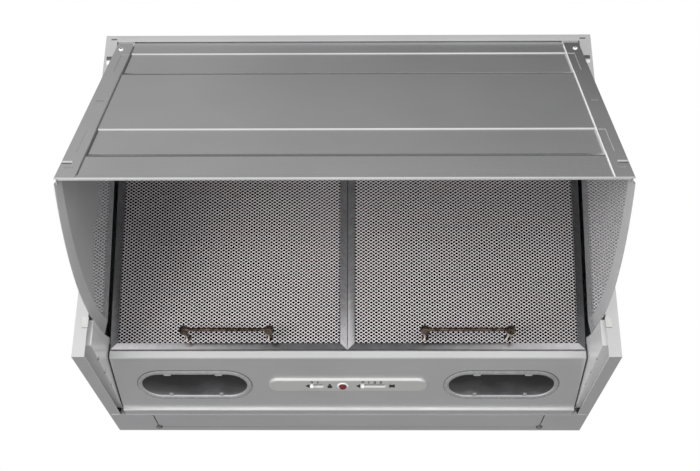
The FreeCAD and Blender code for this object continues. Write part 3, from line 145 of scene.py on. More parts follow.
# noise and bump that the finishes share
evenly = (1, 1, 1)
grainNoise = (4.0, 0.6)  # detail and roughness
softDetail = 2.0
fineBump = 0.2 * mm
metalBump = 0.3 * mm


# painted sheet: silver paint with fine flow lines along the sheet and a thin clear top coat
def sheetPaint(name, spec):
    material, tree, shader = newMaterial(name)
    grain = objectNoise(tree, spec["grain"], spec["grainScale"], *grainNoise)
    cloud = objectNoise(tree, evenly, spec["cloudScale"], softDetail)
    fine = objectNoise(tree, evenly, spec["peelScale"], softDetail)
    mixed = mathNode(tree, "MULTIPLY_ADD", grain, spec["grainShare"], cloud)
    colour = colourBetween(tree, mixed, spec["dark"], spec["light"], *spec["tones"])
    tree.links.new(colour, shader.inputs["Base Color"])
    tree.links.new(spread(tree, grain, *spec["rough"]), shader.inputs["Roughness"])
    if "sideMetal" in spec:
        tree.links.new(sideways(tree, spec["metal"], spec["sideMetal"]), shader.inputs["Metallic"])
    else:
        shader.inputs["Metallic"].default_value = spec["metal"]
    shader.inputs["Coat Weight"].default_value = spec["coat"]
    shader.inputs["Coat Roughness"].default_value = spec["coatRough"]
    addBump(tree, shader, fine, spec["bump"], fineBump)
    return material


paintSpec = {
    "grain": (3, 160, 160), "grainScale": 6.0, "cloudScale": 7.0, "peelScale": 900.0, "grainShare": 0.6,
    "dark": (0.72, 0.72, 0.725), "light": (0.8, 0.8, 0.805), "tones": (0.45, 1.0), "rough": (0.26, 0.34),
    "metal": 0.92, "coat": 0.15, "coatRough": 0.12, "bump": 0.04,
}
casingPaint = sheetPaint("casingPaint", paintSpec)
stripPaint = sheetPaint("stripPaint", {**paintSpec, "dark": (0.72, 0.7, 0.72), "light": (0.8, 0.785, 0.8)})
canopyPaint = sheetPaint("canopyPaint", {**paintSpec, "dark": (0.68, 0.68, 0.685),
                                         "light": (0.76, 0.76, 0.765), "rough": (0.18, 0.26)})
cheekPaint = sheetPaint("cheekPaint", {**paintSpec, "grain": (3, 3, 3), "sideMetal": 0.4,
                                       "rough": (0.05, 0.08), "coat": 1.0, "coatRough": 0.01})
sidePaint = sheetPaint("sidePaint", {**paintSpec, "grain": (3, 3, 3), "sideMetal": 0.25})
platePaint = sheetPaint("platePaint", {**paintSpec, "grain": (3, 3, 3), "metal": 0.2})
panelPaint = sheetPaint("panelPaint", {**paintSpec, "dark": (0.7, 0.7, 0.705),
                                       "light": (0.78, 0.78, 0.785)})
innerZinc = sheetPaint("innerZinc", {**paintSpec, "grain": evenly, "dark": (0.36, 0.37, 0.39),
                                     "light": (0.58, 0.6, 0.62), "cloudScale": 60.0, "coat": 0.0,
                                     "metal": 0.9})


# bare metals: aluminium of the filters, plated screws, motor
def bareMetal(name, spec):
    material, tree, shader = newMaterial(name)
    grain = objectNoise(tree, spec["grain"], spec["grainScale"], *grainNoise)
    tree.links.new(colourBetween(tree, grain, spec["dark"], spec["light"]), shader.inputs["Base Color"])
    tree.links.new(spread(tree, grain, *spec["rough"]), shader.inputs["Roughness"])
    shader.inputs["Metallic"].default_value = spec.get("metal", 1.0)
    addBump(tree, shader, grain, spec["bump"], metalBump)
    return material


# frame tones: a dark tone of painted shade all over, and a lighter tone of painted highlight outward along
# the low bar and down the middle upright
frameSpec = {
    "grain": (40, 400, 40), "grainScale": 2.0, "shadeTone": (0.11, 0.11, 0.114), "shadeToneSpread": 1.5,
    "highlightTone": (0.56, 0.55, 0.56), "highlightToneSpread": 1.2, "rough": (0.14, 0.26), "bump": 0.06,
    "outward": (75 * mm, 255 * mm), "upright": (300 * mm, 50 * mm), "barWidth": 12 * mm,
}


# a filter's frame in a dark tone of painted shade, with a lighter painted highlight outward along the low bar
# and down the middle upright
def wipedFrame(spec):
    material, tree, shader = newMaterial("frameMetal")
    grain = objectNoise(tree, spec["grain"], spec["grainScale"], *grainNoise)
    height = axisOf(tree, "Object", "Z")
    across = mathNode(tree, "ABSOLUTE", axisOf(tree, "Object", "X"))
    low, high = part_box("right_filter_frame")
    fromMiddle = mathNode(tree, "SUBTRACT", across, low.x)
    fromOuter = mathNode(tree, "SUBTRACT", high.x, across)
    fromBottom = mathNode(tree, "SUBTRACT", height, low.z)
    fromSide = mathNode(tree, "MINIMUM", fromMiddle, fromOuter)
    lowBar = mathNode(tree, "GREATER_THAN", fromSide, fromBottom)
    lowTone = mathNode(tree, "MULTIPLY", lowBar, within(tree, across, *spec["outward"]))
    inUpright = mathNode(tree, "LESS_THAN", fromMiddle, spec["barWidth"])
    upright = mathNode(tree, "MULTIPLY", inUpright, mathNode(tree, "SUBTRACT", 1.0, lowBar))
    uprightTone = mathNode(tree, "MULTIPLY", upright, within(tree, height, *spec["upright"]))
    colour = addNode(tree, "ShaderNodeMix", data_type="RGBA")
    tree.links.new(mathNode(tree, "MAXIMUM", lowTone, uprightTone), colour.inputs["Factor"])
    for socket, tone in (("A", "shadeTone"), ("B", "highlightTone")):
        light = tuple(c * spec[f"{tone}Spread"] for c in spec[tone])
        tree.links.new(colourBetween(tree, grain, spec[tone], light), colour.inputs[socket])
    tree.links.new(colour.outputs["Result"], shader.inputs["Base Color"])
    tree.links.new(spread(tree, grain, *spec["rough"]), shader.inputs["Roughness"])
    shader.inputs["Metallic"].default_value = 1.0
    addBump(tree, shader, grain, spec["bump"], metalBump)
    return material


frameMetal = wipedFrame(frameSpec)
meshMetal = bareMetal("meshMetal", {"grain": evenly, "grainScale": 300.0, "dark": (0.95, 0.92, 0.95),
                                    "light": (1.0, 0.98, 1.0), "rough": (0.42, 0.5), "bump": 0.02,
                                    "metal": 0.35})
# the filter core behind the front mesh, near black: painted shade seen through the holes
paintedShadeCore = bareMetal("paintedShadeCore", {"grain": evenly, "grainScale": 260.0, "dark": (0.003, 0.0025, 0.003),
                                    "light": (0.016, 0.014, 0.016), "rough": (0.5, 0.7), "bump": 0.4})
screwMetal = bareMetal("screwMetal", {"grain": evenly, "grainScale": 500.0, "dark": (0.3, 0.3, 0.31),
                                      "light": (0.5, 0.5, 0.52), "rough": (0.25, 0.4), "bump": 0.05})
motorMetal = bareMetal("motorMetal", {"grain": (500, 3, 3), "grainScale": 2.0, "dark": (0.2, 0.21, 0.22),
                                      "light": (0.36, 0.37, 0.39), "rough": (0.4, 0.55), "bump": 0.2})

bronzeSpec = {"scale": 190.0, "tones": (0.36, 0.72), "bump": 0.15}


def bronzeFinish(name, spec):
    material, tree, shader = newMaterial(name)
    patina = objectNoise(tree, evenly, spec["scale"], *grainNoise)
    colour = colourBetween(tree, patina, spec["dark"], spec["light"], *spec["tones"])
    tree.links.new(colour, shader.inputs["Base Color"])
    tree.links.new(spread(tree, patina, *spec["rough"]), shader.inputs["Roughness"])
    shader.inputs["Metallic"].default_value = spec["metal"]
    addBump(tree, shader, patina, spec["bump"], fineBump)
    return material


plasticSpec = {"scale": 700.0, "roughSpread": 0.12, "bump": 0.06}


def mouldedPlastic(name, dark, light, rough, coat=0.0, scale=plasticSpec["scale"]):
    material, tree, shader = newMaterial(name)
    grain = objectNoise(tree, evenly, scale, softDetail)
    tree.links.new(colourBetween(tree, grain, dark, light), shader.inputs["Base Color"])
    tree.links.new(spread(tree, grain, rough, rough + plasticSpec["roughSpread"]), shader.inputs["Roughness"])
    shader.inputs["Coat Weight"].default_value = coat
    addBump(tree, shader, grain, plasticSpec["bump"], fineBump)
    return material


bulbSpec = {"dark": (0.85, 0.85, 0.83), "light": (0.952, 0.952, 0.9296), "scale": 240.0, "rough": (0.35, 0.4),
            "through": 0.6, "ior": 1.49}


def clearGlass(spec):
    material, tree, shader = newMaterial("bulbGlass")
    grain = objectNoise(tree, evenly, spec["scale"], softDetail)
    tree.links.new(colourBetween(tree, grain, spec["dark"], spec["light"]), shader.inputs["Base Color"])
    tree.links.new(spread(tree, grain, *spec["rough"]), shader.inputs["Roughness"])
    shader.inputs["Transmission Weight"].default_value = spec["through"]
    shader.inputs["IOR"].default_value = spec["ior"]
    return material


smokeSpec = {
    "front": -164 * mm, "rear": -112 * mm, "stops": [(0.0, 0.003), (0.4, 0.014), (0.75, 0.055), (1.0, 0.15)],
    "tint": (1, 1, 1.05), "cloudGrain": (1, 1, 3), "cloudScale": 30.0, "cloudShare": 0.3,
    "rough": 0.14, "shine": 0.35,
}


# the lamp's window: dark under its front edge, lighter to the rear where light falls in
def smokeGlass(spec):
    material, tree, shader = newMaterial("smokeLens")
    depth = within(tree, axisOf(tree, "Object", "Y"), spec["front"], spec["rear"])
    cloud = spread(tree, objectNoise(tree, spec["cloudGrain"], spec["cloudScale"]), -1.0, 1.0)
    mixed = mathNode(tree, "MULTIPLY_ADD", cloud, spec["cloudShare"], depth)
    tree.links.new(greyRamp(tree, mixed, spec["stops"], spec["tint"]), shader.inputs["Base Color"])
    shader.inputs["Roughness"].default_value = spec["rough"]
    shader.inputs["Specular IOR Level"].default_value = spec["shine"]
    return material


oldBronze = bronzeFinish("oldBronze", {**bronzeSpec, "dark": (0.025, 0.02, 0.016), "light": (0.3, 0.23, 0.18),
                                       "rough": (0.08, 0.2), "metal": 1.0})
# lighter, glossier bronze: a painted highlight on the feet of the handles
highlightBronze = bronzeFinish("highlightBronze", {**bronzeSpec, "dark": (0.7, 0.6, 0.54), "light": (1.0, 0.9, 0.84),
                                         "rough": (0.05, 0.12), "metal": 0.3})
controlSilver = sheetPaint("controlSilver", {**paintSpec, "grain": evenly, "cloudScale": 40.0,
                                             "dark": (0.86, 0.86, 0.85), "light": (0.93, 0.93, 0.92)})
# darker grey for the slots' floors: painted shade in the recesses
slotShadeGrey = mouldedPlastic("slotShadeGrey", (0.16, 0.16, 0.16), (0.21, 0.21, 0.21), 0.4)
knobSilver = mouldedPlastic("knobSilver", (0.78, 0.78, 0.78), (0.86, 0.86, 0.86), 0.25, 0.4)
blackPlastic = mouldedPlastic("blackPlastic", (0.018, 0.018, 0.02), (0.035, 0.035, 0.038), 0.45)
wheelPlastic = mouldedPlastic("wheelPlastic", (0.09, 0.09, 0.1), (0.14, 0.14, 0.15), 0.45)
palePlastic = mouldedPlastic("palePlastic", (0.66, 0.66, 0.64), (0.76, 0.76, 0.73), 0.4)
whiteNylon = mouldedPlastic("whiteNylon", (0.42, 0.42, 0.41), (0.5, 0.5, 0.485), 0.4)
redLens = mouldedPlastic("redLens", (0.1, 0.003, 0.008), (0.16, 0.006, 0.013), 0.2, 0.3)
smokeLens = smokeGlass(smokeSpec)
lensRim = mouldedPlastic("lensRim", (0.24, 0.24, 0.245), (0.3, 0.3, 0.305), 0.2, 0.5, 200.0)
# dark finish of the lens's seam ring, and of painted shade in the strip's slits, the left seam line, the
# louvre slots, the screw middles and the casing's corner notches and slits
seamAndShadeDark = mouldedPlastic("seamAndShadeDark", (0.06, 0.06, 0.062), (0.1, 0.1, 0.1), 0.5)
# dark grey for lines of painted shade under the canopy's pressed bands
bandShadeGrey = mouldedPlastic("bandShadeGrey", (0.07, 0.07, 0.07), (0.11, 0.11, 0.11), 0.5)
bulbGlass = clearGlass(bulbSpec)
printInk = mouldedPlastic("printInk", (0.012, 0.012, 0.013), (0.03, 0.03, 0.032), 0.5)
print("finishes made:", len(bpy.data.materials))

# which finish each node wears: by the record's slot, with a few nodes of their own
slotFinish = {
    "casing_paint": casingPaint, "canopy_paint": canopyPaint, "zinc_sheet": innerZinc,
    "screw_steel": screwMetal, "white_nylon": whiteNylon, "filter_aluminium": frameMetal,
    "filter_core": paintedShadeCore, "old_bronze": oldBronze, "smoke_lens": smokeLens, "bulb_glass": bulbGlass,
    "silver_plastic": controlSilver, "red_lens": redLens, "black_plastic": blackPlastic,
    "wheel_plastic": wheelPlastic, "motor_metal": motorMetal, "capacitor_plastic": palePlastic,
}
ownFinish = {
    "canopy_left_cheek": cheekPaint, "canopy_right_cheek": cheekPaint, "control_panel": panelPaint,
    "casing_left_side": sidePaint, "casing_right_side": sidePaint, "left_inner_plate": platePaint,
    "right_inner_plate": platePaint, "rear_bottom_strip": stripPaint, "light_slider": knobSilver,
    "speed_slider": knobSilver,
}


def wear(thing, material):
    thing.data.materials.clear()
    thing.data.materials.append(material)


def dressNodes():
    for part in frame["record"]["subparts"]:
        name = part["node"]
        wear(nodes[name], ownFinish.get(name, slotFinish[part["material_slot"]]))
    print("nodes dressed:", len(nodes))


dressNodes()

# folded sheet is never sharp: soft edges on the nodes that show
edgeSpec = {
    "weld": 0.002 * mm, "width": 0.35 * mm, "segments": 2, "angle": 35, "flatness": 100,
    "wider": {"rear_bottom_strip": 0.9 * mm, "control_panel": 0.3 * mm},
    "crease": {"canopy_panel": 5, "canopy_left_cheek": 4, "canopy_right_cheek": 4,  # degrees, kept as a line
               "left_inner_plate": 12, "right_inner_plate": 12},
    "nodes": ["casing_top", "rear_bottom_strip", "canopy_panel", "canopy_left_cheek", "canopy_right_cheek",
              "left_inner_plate", "right_inner_plate", "control_panel", "left_filter_frame",
              "right_filter_frame"],
}


def softEdges(spec):
    for name in spec["nodes"]:
        thing = nodes[name]
        weld = thing.modifiers.new("weld", "WELD")
        weld.merge_threshold = spec["weld"]
        bevel = thing.modifiers.new("softEdge", "BEVEL")
        bevel.width = spec["wider"].get(name, spec["width"])
        bevel.segments = spec["segments"]
        bevel.limit_method = "ANGLE"
        bevel.angle_limit = math.radians(spec["angle"])
        if name in spec["crease"]:
            crease = thing.modifiers.new("crease", "EDGE_SPLIT")
            crease.split_angle = math.radians(spec["crease"][name])
        flat = thing.modifiers.new("flatFaces", "WEIGHTED_NORMAL")
        flat.weight = spec["flatness"]
        flat.keep_sharp = False
    print("edges softened:", len(spec["nodes"]))


softEdges(edgeSpec)


# small helpers for meshes: faces between loops of points, and the finished mesh
def ringFaces(form, lower, upper, finish):
    for k in range(len(lower)):
        j = (k + 1) % len(lower)
        form.faces.new((lower[k], lower[j], upper[j], upper[k])).material_index = finish


def bandFaces(form, loops, finish):
    for lower, upper in zip(loops, loops[1:]):
        ringFaces(form, lower, upper, finish)


def solidBand(form, loops, finish):
    bandFaces(form, loops, finish)
    for cap in (loops[0], loops[-1]):
        form.faces.new(cap).material_index = finish


def fillBetween(form, loops, finish):
    edges = []
    for loop in loops:
        for k in range(len(loop)):
            pair = (loop[k - 1], loop[k])
            edges.append(form.edges.get(pair) or form.edges.new(pair))
    for item in bmesh.ops.triangle_fill(form, edges=edges, use_beauty=True)["geom"]:
        if isinstance(item, bmesh.types.BMFace):
            item.material_index = finish


def meshOf(form, name, finishes, smooth=False):
    bmesh.ops.recalc_face_normals(form, faces=form.faces)
    for face in form.faces:
        face.smooth = smooth
    mesh = bpy.data.meshes.new(name)
    form.to_mesh(mesh)
    form.free()
    for finish in finishes:
        mesh.materials.append(finish)
    return mesh


# a loop of points with round ends, or a circle, in millimetres
def stadiumLoop(form, length, width, height, arc, right=0.0, up=0.0):
    reach = (length - width) / 2
    loop = []
    for k in range(2 * arc + 2):
        half, step = divmod(k, arc + 1)
        turn = math.radians(-90 + 180 * half + 180 * step / arc)
        if length == width and step == arc:  # a full circle has no straight sides
            continue
        x = right + (reach if half == 0 else -reach) + width / 2 * math.cos(turn)
        y = up + width / 2 * math.sin(turn)
        loop.append(form.verts.new((x * mm, y * mm, height * mm)))
    return loop


# circles of a turned section, each a radius and a height
def circles(form, section, arc, right=0.0, up=0.0):
    return [stadiumLoop(form, 2 * r, 2 * r, height, arc, right, up) for r, height in section]


tabLevels = [(1.0, 0.0), (1.0, 0.7), (0.8, 1.0)]  # shares of a tab's plan and of its height
fourCorners = [(-1, -1), (1, -1), (1, 1), (-1, 1)]


def roundedTab(form, x, y, size, height, finish):
    wide, deep, tall = size
    loops = []
    for share, up in tabLevels:
        loops.append([form.verts.new(((x + wide / 2 * share * a) * mm, (y + deep / 2 * share * b) * mm,
                                      (height + tall * up) * mm)) for a, b in fourCorners])
    solidBand(form, loops, finish)


def newObject(name, data):
    thing = bpy.data.objects.new(name, data)
    bpy.context.scene.collection.objects.link(thing)
    return thing


def plainMesh(holder):
    ready = holder.evaluated_get(bpy.context.evaluated_depsgraph_get())
    return bpy.data.meshes.new_from_object(ready)


# a piece that rides on a body and may stand for a node, which it hides
def newPiece(name, mesh, body, node=None):
    piece = newObject(name, mesh)
    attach(piece, body)
    if node:
        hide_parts(node)


# the leaning plane of a flat node: its lowest corner, its way up the slope, and its size
def slopePlane(name):
    corners = [v.co for v in nodes[name].data.vertices]
    low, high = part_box(name)
    bottom = min(corners, key=lambda c: (round(c.z, micron), c.y))
    front = min(corners, key=lambda c: (round(c.y, micron), c.z))
    up = Vector((0, front.y - bottom.y, front.z - bottom.z))
    start = Vector((low.x, bottom.y, bottom.z))
    return start, up.normalized(), high.x - low.x, up.length


def toPlane(start, across, up):
    out = across.cross(up)
    turn = Matrix((across, up, out)).transposed().to_4x4()
    return Matrix.Translation(start) @ turn


# front mesh of a filter: expanded metal, one ring of strands for each diamond
meshSpec = {
    "pitchAcross": 6.03 * mm, "pitchUp": 3.98 * mm, "knot": 1.25 * mm, "strand": 0.52 * mm,
    "thick": 0.4 * mm, "twist": 0.12, "underLip": 3.0 * mm, "lip": 8.0 * mm, "merge": 0.01 * mm,
}


def diamondRing(spec):
    form = bmesh.new()
    halfAcross = spec["pitchAcross"] / 2
    halfUp = spec["pitchUp"] / 2

    def ring(reach, rise, height):
        around = [(1, 0), (0, 1), (-1, 0), (0, -1)]
        return [form.verts.new((x * reach, y * rise, height)) for x, y in around]

    ridge = ring(halfAcross, halfUp, 0)
    hole = ring(halfAcross - spec["knot"] / 2, halfUp - spec["strand"] / 2, -spec["thick"] * spec["twist"])
    back = ring(halfAcross, halfUp, -spec["thick"])
    bandFaces(form, [ridge, hole, back], 0)
    mesh = bpy.data.meshes.new("diamondRing")
    form.to_mesh(mesh)
    form.free()
    return newObject("diamondRing", mesh)


def expandedMeshTree(spec):
    tree = bpy.data.node_groups.new("expandedMesh", "GeometryNodeTree")
    tree.interface.new_socket("Geometry", in_out="OUTPUT", socket_type="NodeSocketGeometry")
    inputs = {"Diamond": "Object", "Columns": "Int", "Rows": "Int", "Pitch Across": "Float",
              "Pitch Up": "Float", "Finish": "Material"}
    for name, kind in inputs.items():
        tree.interface.new_socket(name, in_out="INPUT", socket_type=f"NodeSocket{kind}")
    entry = addNode(tree, "NodeGroupInput")
    out = addNode(tree, "NodeGroupOutput")
    info = addNode(tree, "GeometryNodeObjectInfo")
    tree.links.new(entry.outputs["Diamond"], info.inputs["Object"])
    join = addNode(tree, "GeometryNodeJoinGeometry")
    for fewer in (0, 1):  # the second grid fills the gaps of the first
        grid = addNode(tree, "GeometryNodeMeshGrid")
        for axis, count, pitch in (("X", "Columns", "Pitch Across"), ("Y", "Rows", "Pitch Up")):
            points = mathNode(tree, "SUBTRACT", entry.outputs[count], fewer)
            steps = mathNode(tree, "SUBTRACT", points, 1)
            size = mathNode(tree, "MULTIPLY", steps, entry.outputs[pitch])
            tree.links.new(size, grid.inputs[f"Size {axis}"])
            tree.links.new(points, grid.inputs[f"Vertices {axis}"])
        place = addNode(tree, "GeometryNodeInstanceOnPoints")
        tree.links.new(grid.outputs["Mesh"], place.inputs["Points"])
        tree.links.new(info.outputs["Geometry"], place.inputs["Instance"])
        tree.links.new(place.outputs["Instances"], join.inputs["Geometry"])
    real = addNode(tree, "GeometryNodeRealizeInstances")
    merge = addNode(tree, "GeometryNodeMergeByDistance", {"Distance": spec["merge"]})
    paint = addNode(tree, "GeometryNodeSetMaterial")
    for first, second in ((join, real), (real, merge), (merge, paint), (paint, out)):
        tree.links.new(first.outputs["Geometry"], second.inputs["Geometry"])
    tree.links.new(entry.outputs["Finish"], paint.inputs["Material"])
    return tree


def runNodes(name, tree, inputs):
    holder = newObject(name, bpy.data.meshes.new(name))
    modifier = holder.modifiers.new("nodes", "NODES")
    modifier.node_group = tree
    for item in tree.interface.items_tree:
        if item.in_out == "INPUT" and item.name in inputs:
            modifier[item.identifier] = inputs[item.name]
    mesh = plainMesh(holder)
    holder.modifiers.remove(modifier)
    holder.data = mesh
    return holder


def closeRim(mesh):
    form = bmesh.new()
    form.from_mesh(mesh)
    pairs = {}
    for edge in [e for e in form.edges if e.is_boundary]:
        key = tuple(sorted((round(v.co.x, micron), round(v.co.y, micron)) for v in edge.verts))
        pairs.setdefault(key, []).append(edge)
    for edges in pairs.values():
        if len(edges) == 2:
            bmesh.ops.bridge_loops(form, edges=edges)
    bmesh.ops.recalc_face_normals(form, faces=form.faces)
    form.to_mesh(mesh)
    form.free()


def filterMeshes(spec):
    unit = diamondRing(spec)
    tree = expandedMeshTree(spec)
    for side in sides:
        start, up, width, height = slopePlane(f"{side}_filter_front_mesh")
        shown = spec["lip"] - spec["underLip"]
        columns = int((width - 2 * shown) / spec["pitchAcross"])
        rows = int((height - 2 * shown) / spec["pitchUp"])
        piece = runNodes(f"{side}FineMesh", tree, {
            "Diamond": unit, "Columns": columns, "Rows": rows, "Pitch Across": spec["pitchAcross"],
            "Pitch Up": spec["pitchUp"], "Finish": meshMetal,
        })
        closeRim(piece.data)
        middle = start + xAxis * (width / 2) + up * height / 2
        piece.data.transform(toPlane(middle, xAxis, up))
        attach(piece, f"{side}_filter")
        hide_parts(f"{side}_filter_front_mesh")
        print(piece.name, columns, "by", rows, "diamonds,", len(piece.data.polygons), "faces")
    bpy.data.objects.remove(unit)


filterMeshes(meshSpec)


# the sloping panel: where it faces, which way runs to its front edge, and how far out it lies
def panelSide():
    sheet = nodes["control_strip"].data
    facing = max(sheet.polygons, key=lambda p: p.area).normal.copy()
    if facing.z > 0:
        facing.negate()
    upward = facing.cross(xAxis).normalized()  # up in the picture, to the front edge
    return facing, upward, min(v.co.dot(facing) for v in sheet.vertices)


facing, upward, panelLevel = panelSide()


# a matrix that stands a flat drawing on the panel, its middle over a node's middle
def onPanel(name, level, right=0.0, up=0.0):
    low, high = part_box(name)
    ups = [v.co.dot(upward) for v in nodes[name].data.vertices]
    middle = upward * ((min(ups) + max(ups)) / 2 + up) + facing * level
    middle.x = (low.x + high.x) / 2 + right
    return toPlane(middle, xAxis, upward)


# lamp lens: a clear moulding with a light rim, a sunk dark window and clips on its inner edge
lensFinishes = (seamAndShadeDark, lensRim, smokeLens, panelPaint)
seamBand, rimBand, windowBand, sheetBand = range(len(lensFinishes))
lensSpec = {
    "arc": 24, "inward": 1.8,
    "rings": [  # length, width, height over the panel, finish of the band that starts there
        (129.0, 51.0, -2.0, seamBand), (139.0, 61.0, 0.05, seamBand), (137.8, 59.8, 0.6, rimBand),
        (137.2, 59.2, 1.2, rimBand), (136.0, 58.0, 1.5, rimBand), (129.0, 48.8, 1.6, rimBand),
        (127.4, 47.2, 1.3, sheetBand), (126.4, 46.2, -0.2, windowBand), (121.0, 40.0, -0.1, windowBand),
        (104.0, 26.0, 0.0, windowBand), (70.0, 6.0, 0.1, windowBand),
    ],
    "windowEdge": 22.9, "clipPlaces": (-30.5, 30.5), "clipFoot": -0.1, "clipInside": 1 / 3,
    "clips": [((8.6, 2.6, 1.5), 1, sheetBand), ((4.6, 6.5, 0.9), -1, rimBand)],  # size, edge, finish
}


def lampLens(side, sign, spec):
    form = bmesh.new()
    loops = [stadiumLoop(form, *ring[:3], spec["arc"]) for ring in spec["rings"]]
    for ring, lower, upper in zip(spec["rings"], loops, loops[1:]):
        ringFaces(form, lower, upper, ring[3])
    for cap in (loops[0], loops[-1]):
        form.faces.new(cap).material_index = windowBand
    for x in spec["clipPlaces"]:
        for size, edge, finish in spec["clips"]:
            y = edge * (spec["windowEdge"] - size[1] * spec["clipInside"])
            roundedTab(form, x, y, size, spec["clipFoot"], finish)
    mesh = meshOf(form, f"{side}LampLens", lensFinishes, smooth=True)
    mesh.transform(onPanel(f"{side}_lamp_lens", panelLevel, -sign * spec["inward"] * mm))
    newPiece(f"{side}LampLens", mesh, "casing", f"{side}_lamp_lens")


for side, sign in sides.items():
    lampLens(side, sign, lensSpec)
print("lamp lenses made")

# control strip: a drafted plate with two sunk slots, a slit in each for the knob's stem, and a round hole
stripSpec = {
    "length": 192.0, "width": 25.0, "arc": 16, "turnedArc": 12,
    "walls": [(0.0, 0.0), (0.1, 0.5), (1.15, 2.7), (1.5, 3.0), (2.3, 3.2)],  # inset, height over the panel
    "slots": [(-46.1, -27.9), (14.9, 46.3)], "slotWidth": 7.0,
    "slotWalls": [(0.0, 3.2), (0.3, 3.1), (1.4, 0.9)], "slitInset": 2.9, "slitDeep": 0.2, "holeRadius": 4.6,
    "dome": [(4.4, 0.3), (4.4, 4.4), (4.2, 5.4), (3.6, 6.2), (2.5, 6.8), (1.2, 7.1)],
    "knobSection": [(0.5, 0.3), (0.5, 1.0), (1.9, 1.1), (2.1, 2.4), (2.5, 3.3), (2.5, 4.6), (2.1, 5.4),
                    (1.2, 5.9)],
}


def middleOf(node):
    low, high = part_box(node)
    return (low.x + high.x) / 2 / mm


def slotLoop(form, ends, inset, height, spec):
    left, right = ends
    wide = spec["slotWidth"] - 2 * inset
    return stadiumLoop(form, right - left - 2 * inset, wide, height, spec["arc"], (left + right) / 2)


def controlStrip(spec):
    form = bmesh.new()
    outer = [stadiumLoop(form, spec["length"] - 2 * inset, spec["width"] - 2 * inset, height, spec["arc"])
             for inset, height in spec["walls"]]
    bandFaces(form, outer, 0)
    topLoops = [outer[-1]]
    for ends in spec["slots"]:
        walls = [slotLoop(form, ends, inset, height, spec) for inset, height in spec["slotWalls"]]
        bandFaces(form, walls, 0)
        # the slit and its shallow floor are dark, and the slot's floor between wall and slit darker grey:
        # painted shade in the recesses
        slit = [slotLoop(form, ends, spec["slitInset"], height, spec)
                for height in (spec["slotWalls"][-1][1], spec["slitDeep"])]
        bandFaces(form, slit, 2)
        form.faces.new(slit[1]).material_index = 2
        fillBetween(form, [walls[-1], slit[0]], 1)
        topLoops.append(walls[0])
    through = [(spec["holeRadius"], spec["walls"][end][1]) for end in (-1, 0)]
    hole = circles(form, through, spec["arc"], middleOf("indicator_lens"))
    bandFaces(form, hole, 0)
    fillBetween(form, [*topLoops, hole[0]], 0)
    fillBetween(form, [outer[0], hole[1]], 0)
    mesh = meshOf(form, "controlStrip", (controlSilver, slotShadeGrey, seamAndShadeDark))  # finishes 0, 1 and 2
    mesh.transform(onPanel("control_strip", panelLevel))
    newPiece("controlStrip", mesh, "casing", "control_strip")


# a small turned piece on the strip that stands for a node
def turnedPiece(name, node, body, section, material):
    form = bmesh.new()
    solidBand(form, circles(form, section, stripSpec["turnedArc"], middleOf(node)), 0)
    mesh = meshOf(form, name, (material,), smooth=True)
    mesh.transform(onPanel("control_strip", panelLevel))
    newPiece(name, mesh, body, node)


controlStrip(stripSpec)
for name, node in (("lightKnob", "light_slider"), ("speedKnob", "speed_slider")):
    turnedPiece(name, node, node, stripSpec["knobSection"], knobSilver)
turnedPiece("indicatorDome", "indicator_lens", "casing", stripSpec["dome"], redLens)
print("control strip, knobs and indicator made")

# print on the control strip: plain numerals, arrows and signs
inkSpec = {
    "thick": 0.05, "bold": 0.22, "numeralSize": 6.8, "numeralUp": 7.6, "signWide": 5.2, "signTall": 8.2,
    "lightSteps": (-42.9, -35.7), "speedSteps": (18.1, 25.2, 32.3, 39.4),
    "signs": {"arrow0": ("arrow", -48.4), "arrow1": ("arrow", 12.2), "lampSign": ("lamp", -21.6),
              "fanSign": ("fan", 53.0)},
    "outlines": {  # shares of a sign's width and height
        "arrow": [(-0.5, 0), (0.5, -0.5), (0.5, 0.5)],
        "lamp": [(-0.45, -0.54), (0.45, -0.54), (0.6, -0.135), (0.25, 0.225), (0.2, 0.54), (-0.2, 0.54),
                 (-0.25, 0.225), (-0.6, -0.135)],
        "fan": [(-0.65, -0.42), (0, -0.322), (0.65, -0.42), (0.65, 0.42), (0, 0.322), (-0.65, 0.42)],
    },
}
printLevel = panelLevel + stripSpec["walls"][-1][1] * mm


def inkShape(name, outline, right, spec):
    wide, tall = spec["signWide"] * mm, spec["signTall"] * mm
    form = bmesh.new()
    solidBand(form, [[form.verts.new((x * wide, y * tall, height * mm)) for x, y in outline]
                     for height in (0, spec["thick"])], 0)
    mesh = meshOf(form, name, (printInk,))
    mesh.transform(onPanel("control_strip", printLevel, right * mm))
    newPiece(name, mesh, "casing")


def numeral(name, digit, right, spec):
    curve = bpy.data.curves.new(name, "FONT")
    curve.body = digit
    curve.size = spec["numeralSize"] * mm
    curve.extrude = spec["thick"] / 2 * mm
    curve.offset = spec["bold"] * mm
    curve.align_x = "CENTER"
    curve.align_y = "CENTER"
    holder = newObject(name, curve)
    mesh = plainMesh(holder)
    bpy.data.objects.remove(holder)
    mesh.materials.clear()
    mesh.materials.append(printInk)
    level = printLevel + spec["thick"] / 2 * mm
    mesh.transform(onPanel("control_strip", level, right * mm, spec["numeralUp"] * mm))
    newPiece(name, mesh, "casing")


def controlPrint(spec):
    for group in ("light", "speed"):
        for k, right in enumerate(spec[f"{group}Steps"]):
            numeral(f"{group}Numeral{k}", str(k), right, spec)
    for name, (kind, right) in spec["signs"].items():
        inkShape(name, spec["outlines"][kind], right, spec)
    print("control strip printed")


controlPrint(inkSpec)

# light ring round the indicator, its section as radius and height
bezelSpec = {"arc": 40, "section": [(6.8, 0.0), (6.6, 0.63), (5.65, 0.9), (4.6, 0.72), (4.5, 0.0)]}


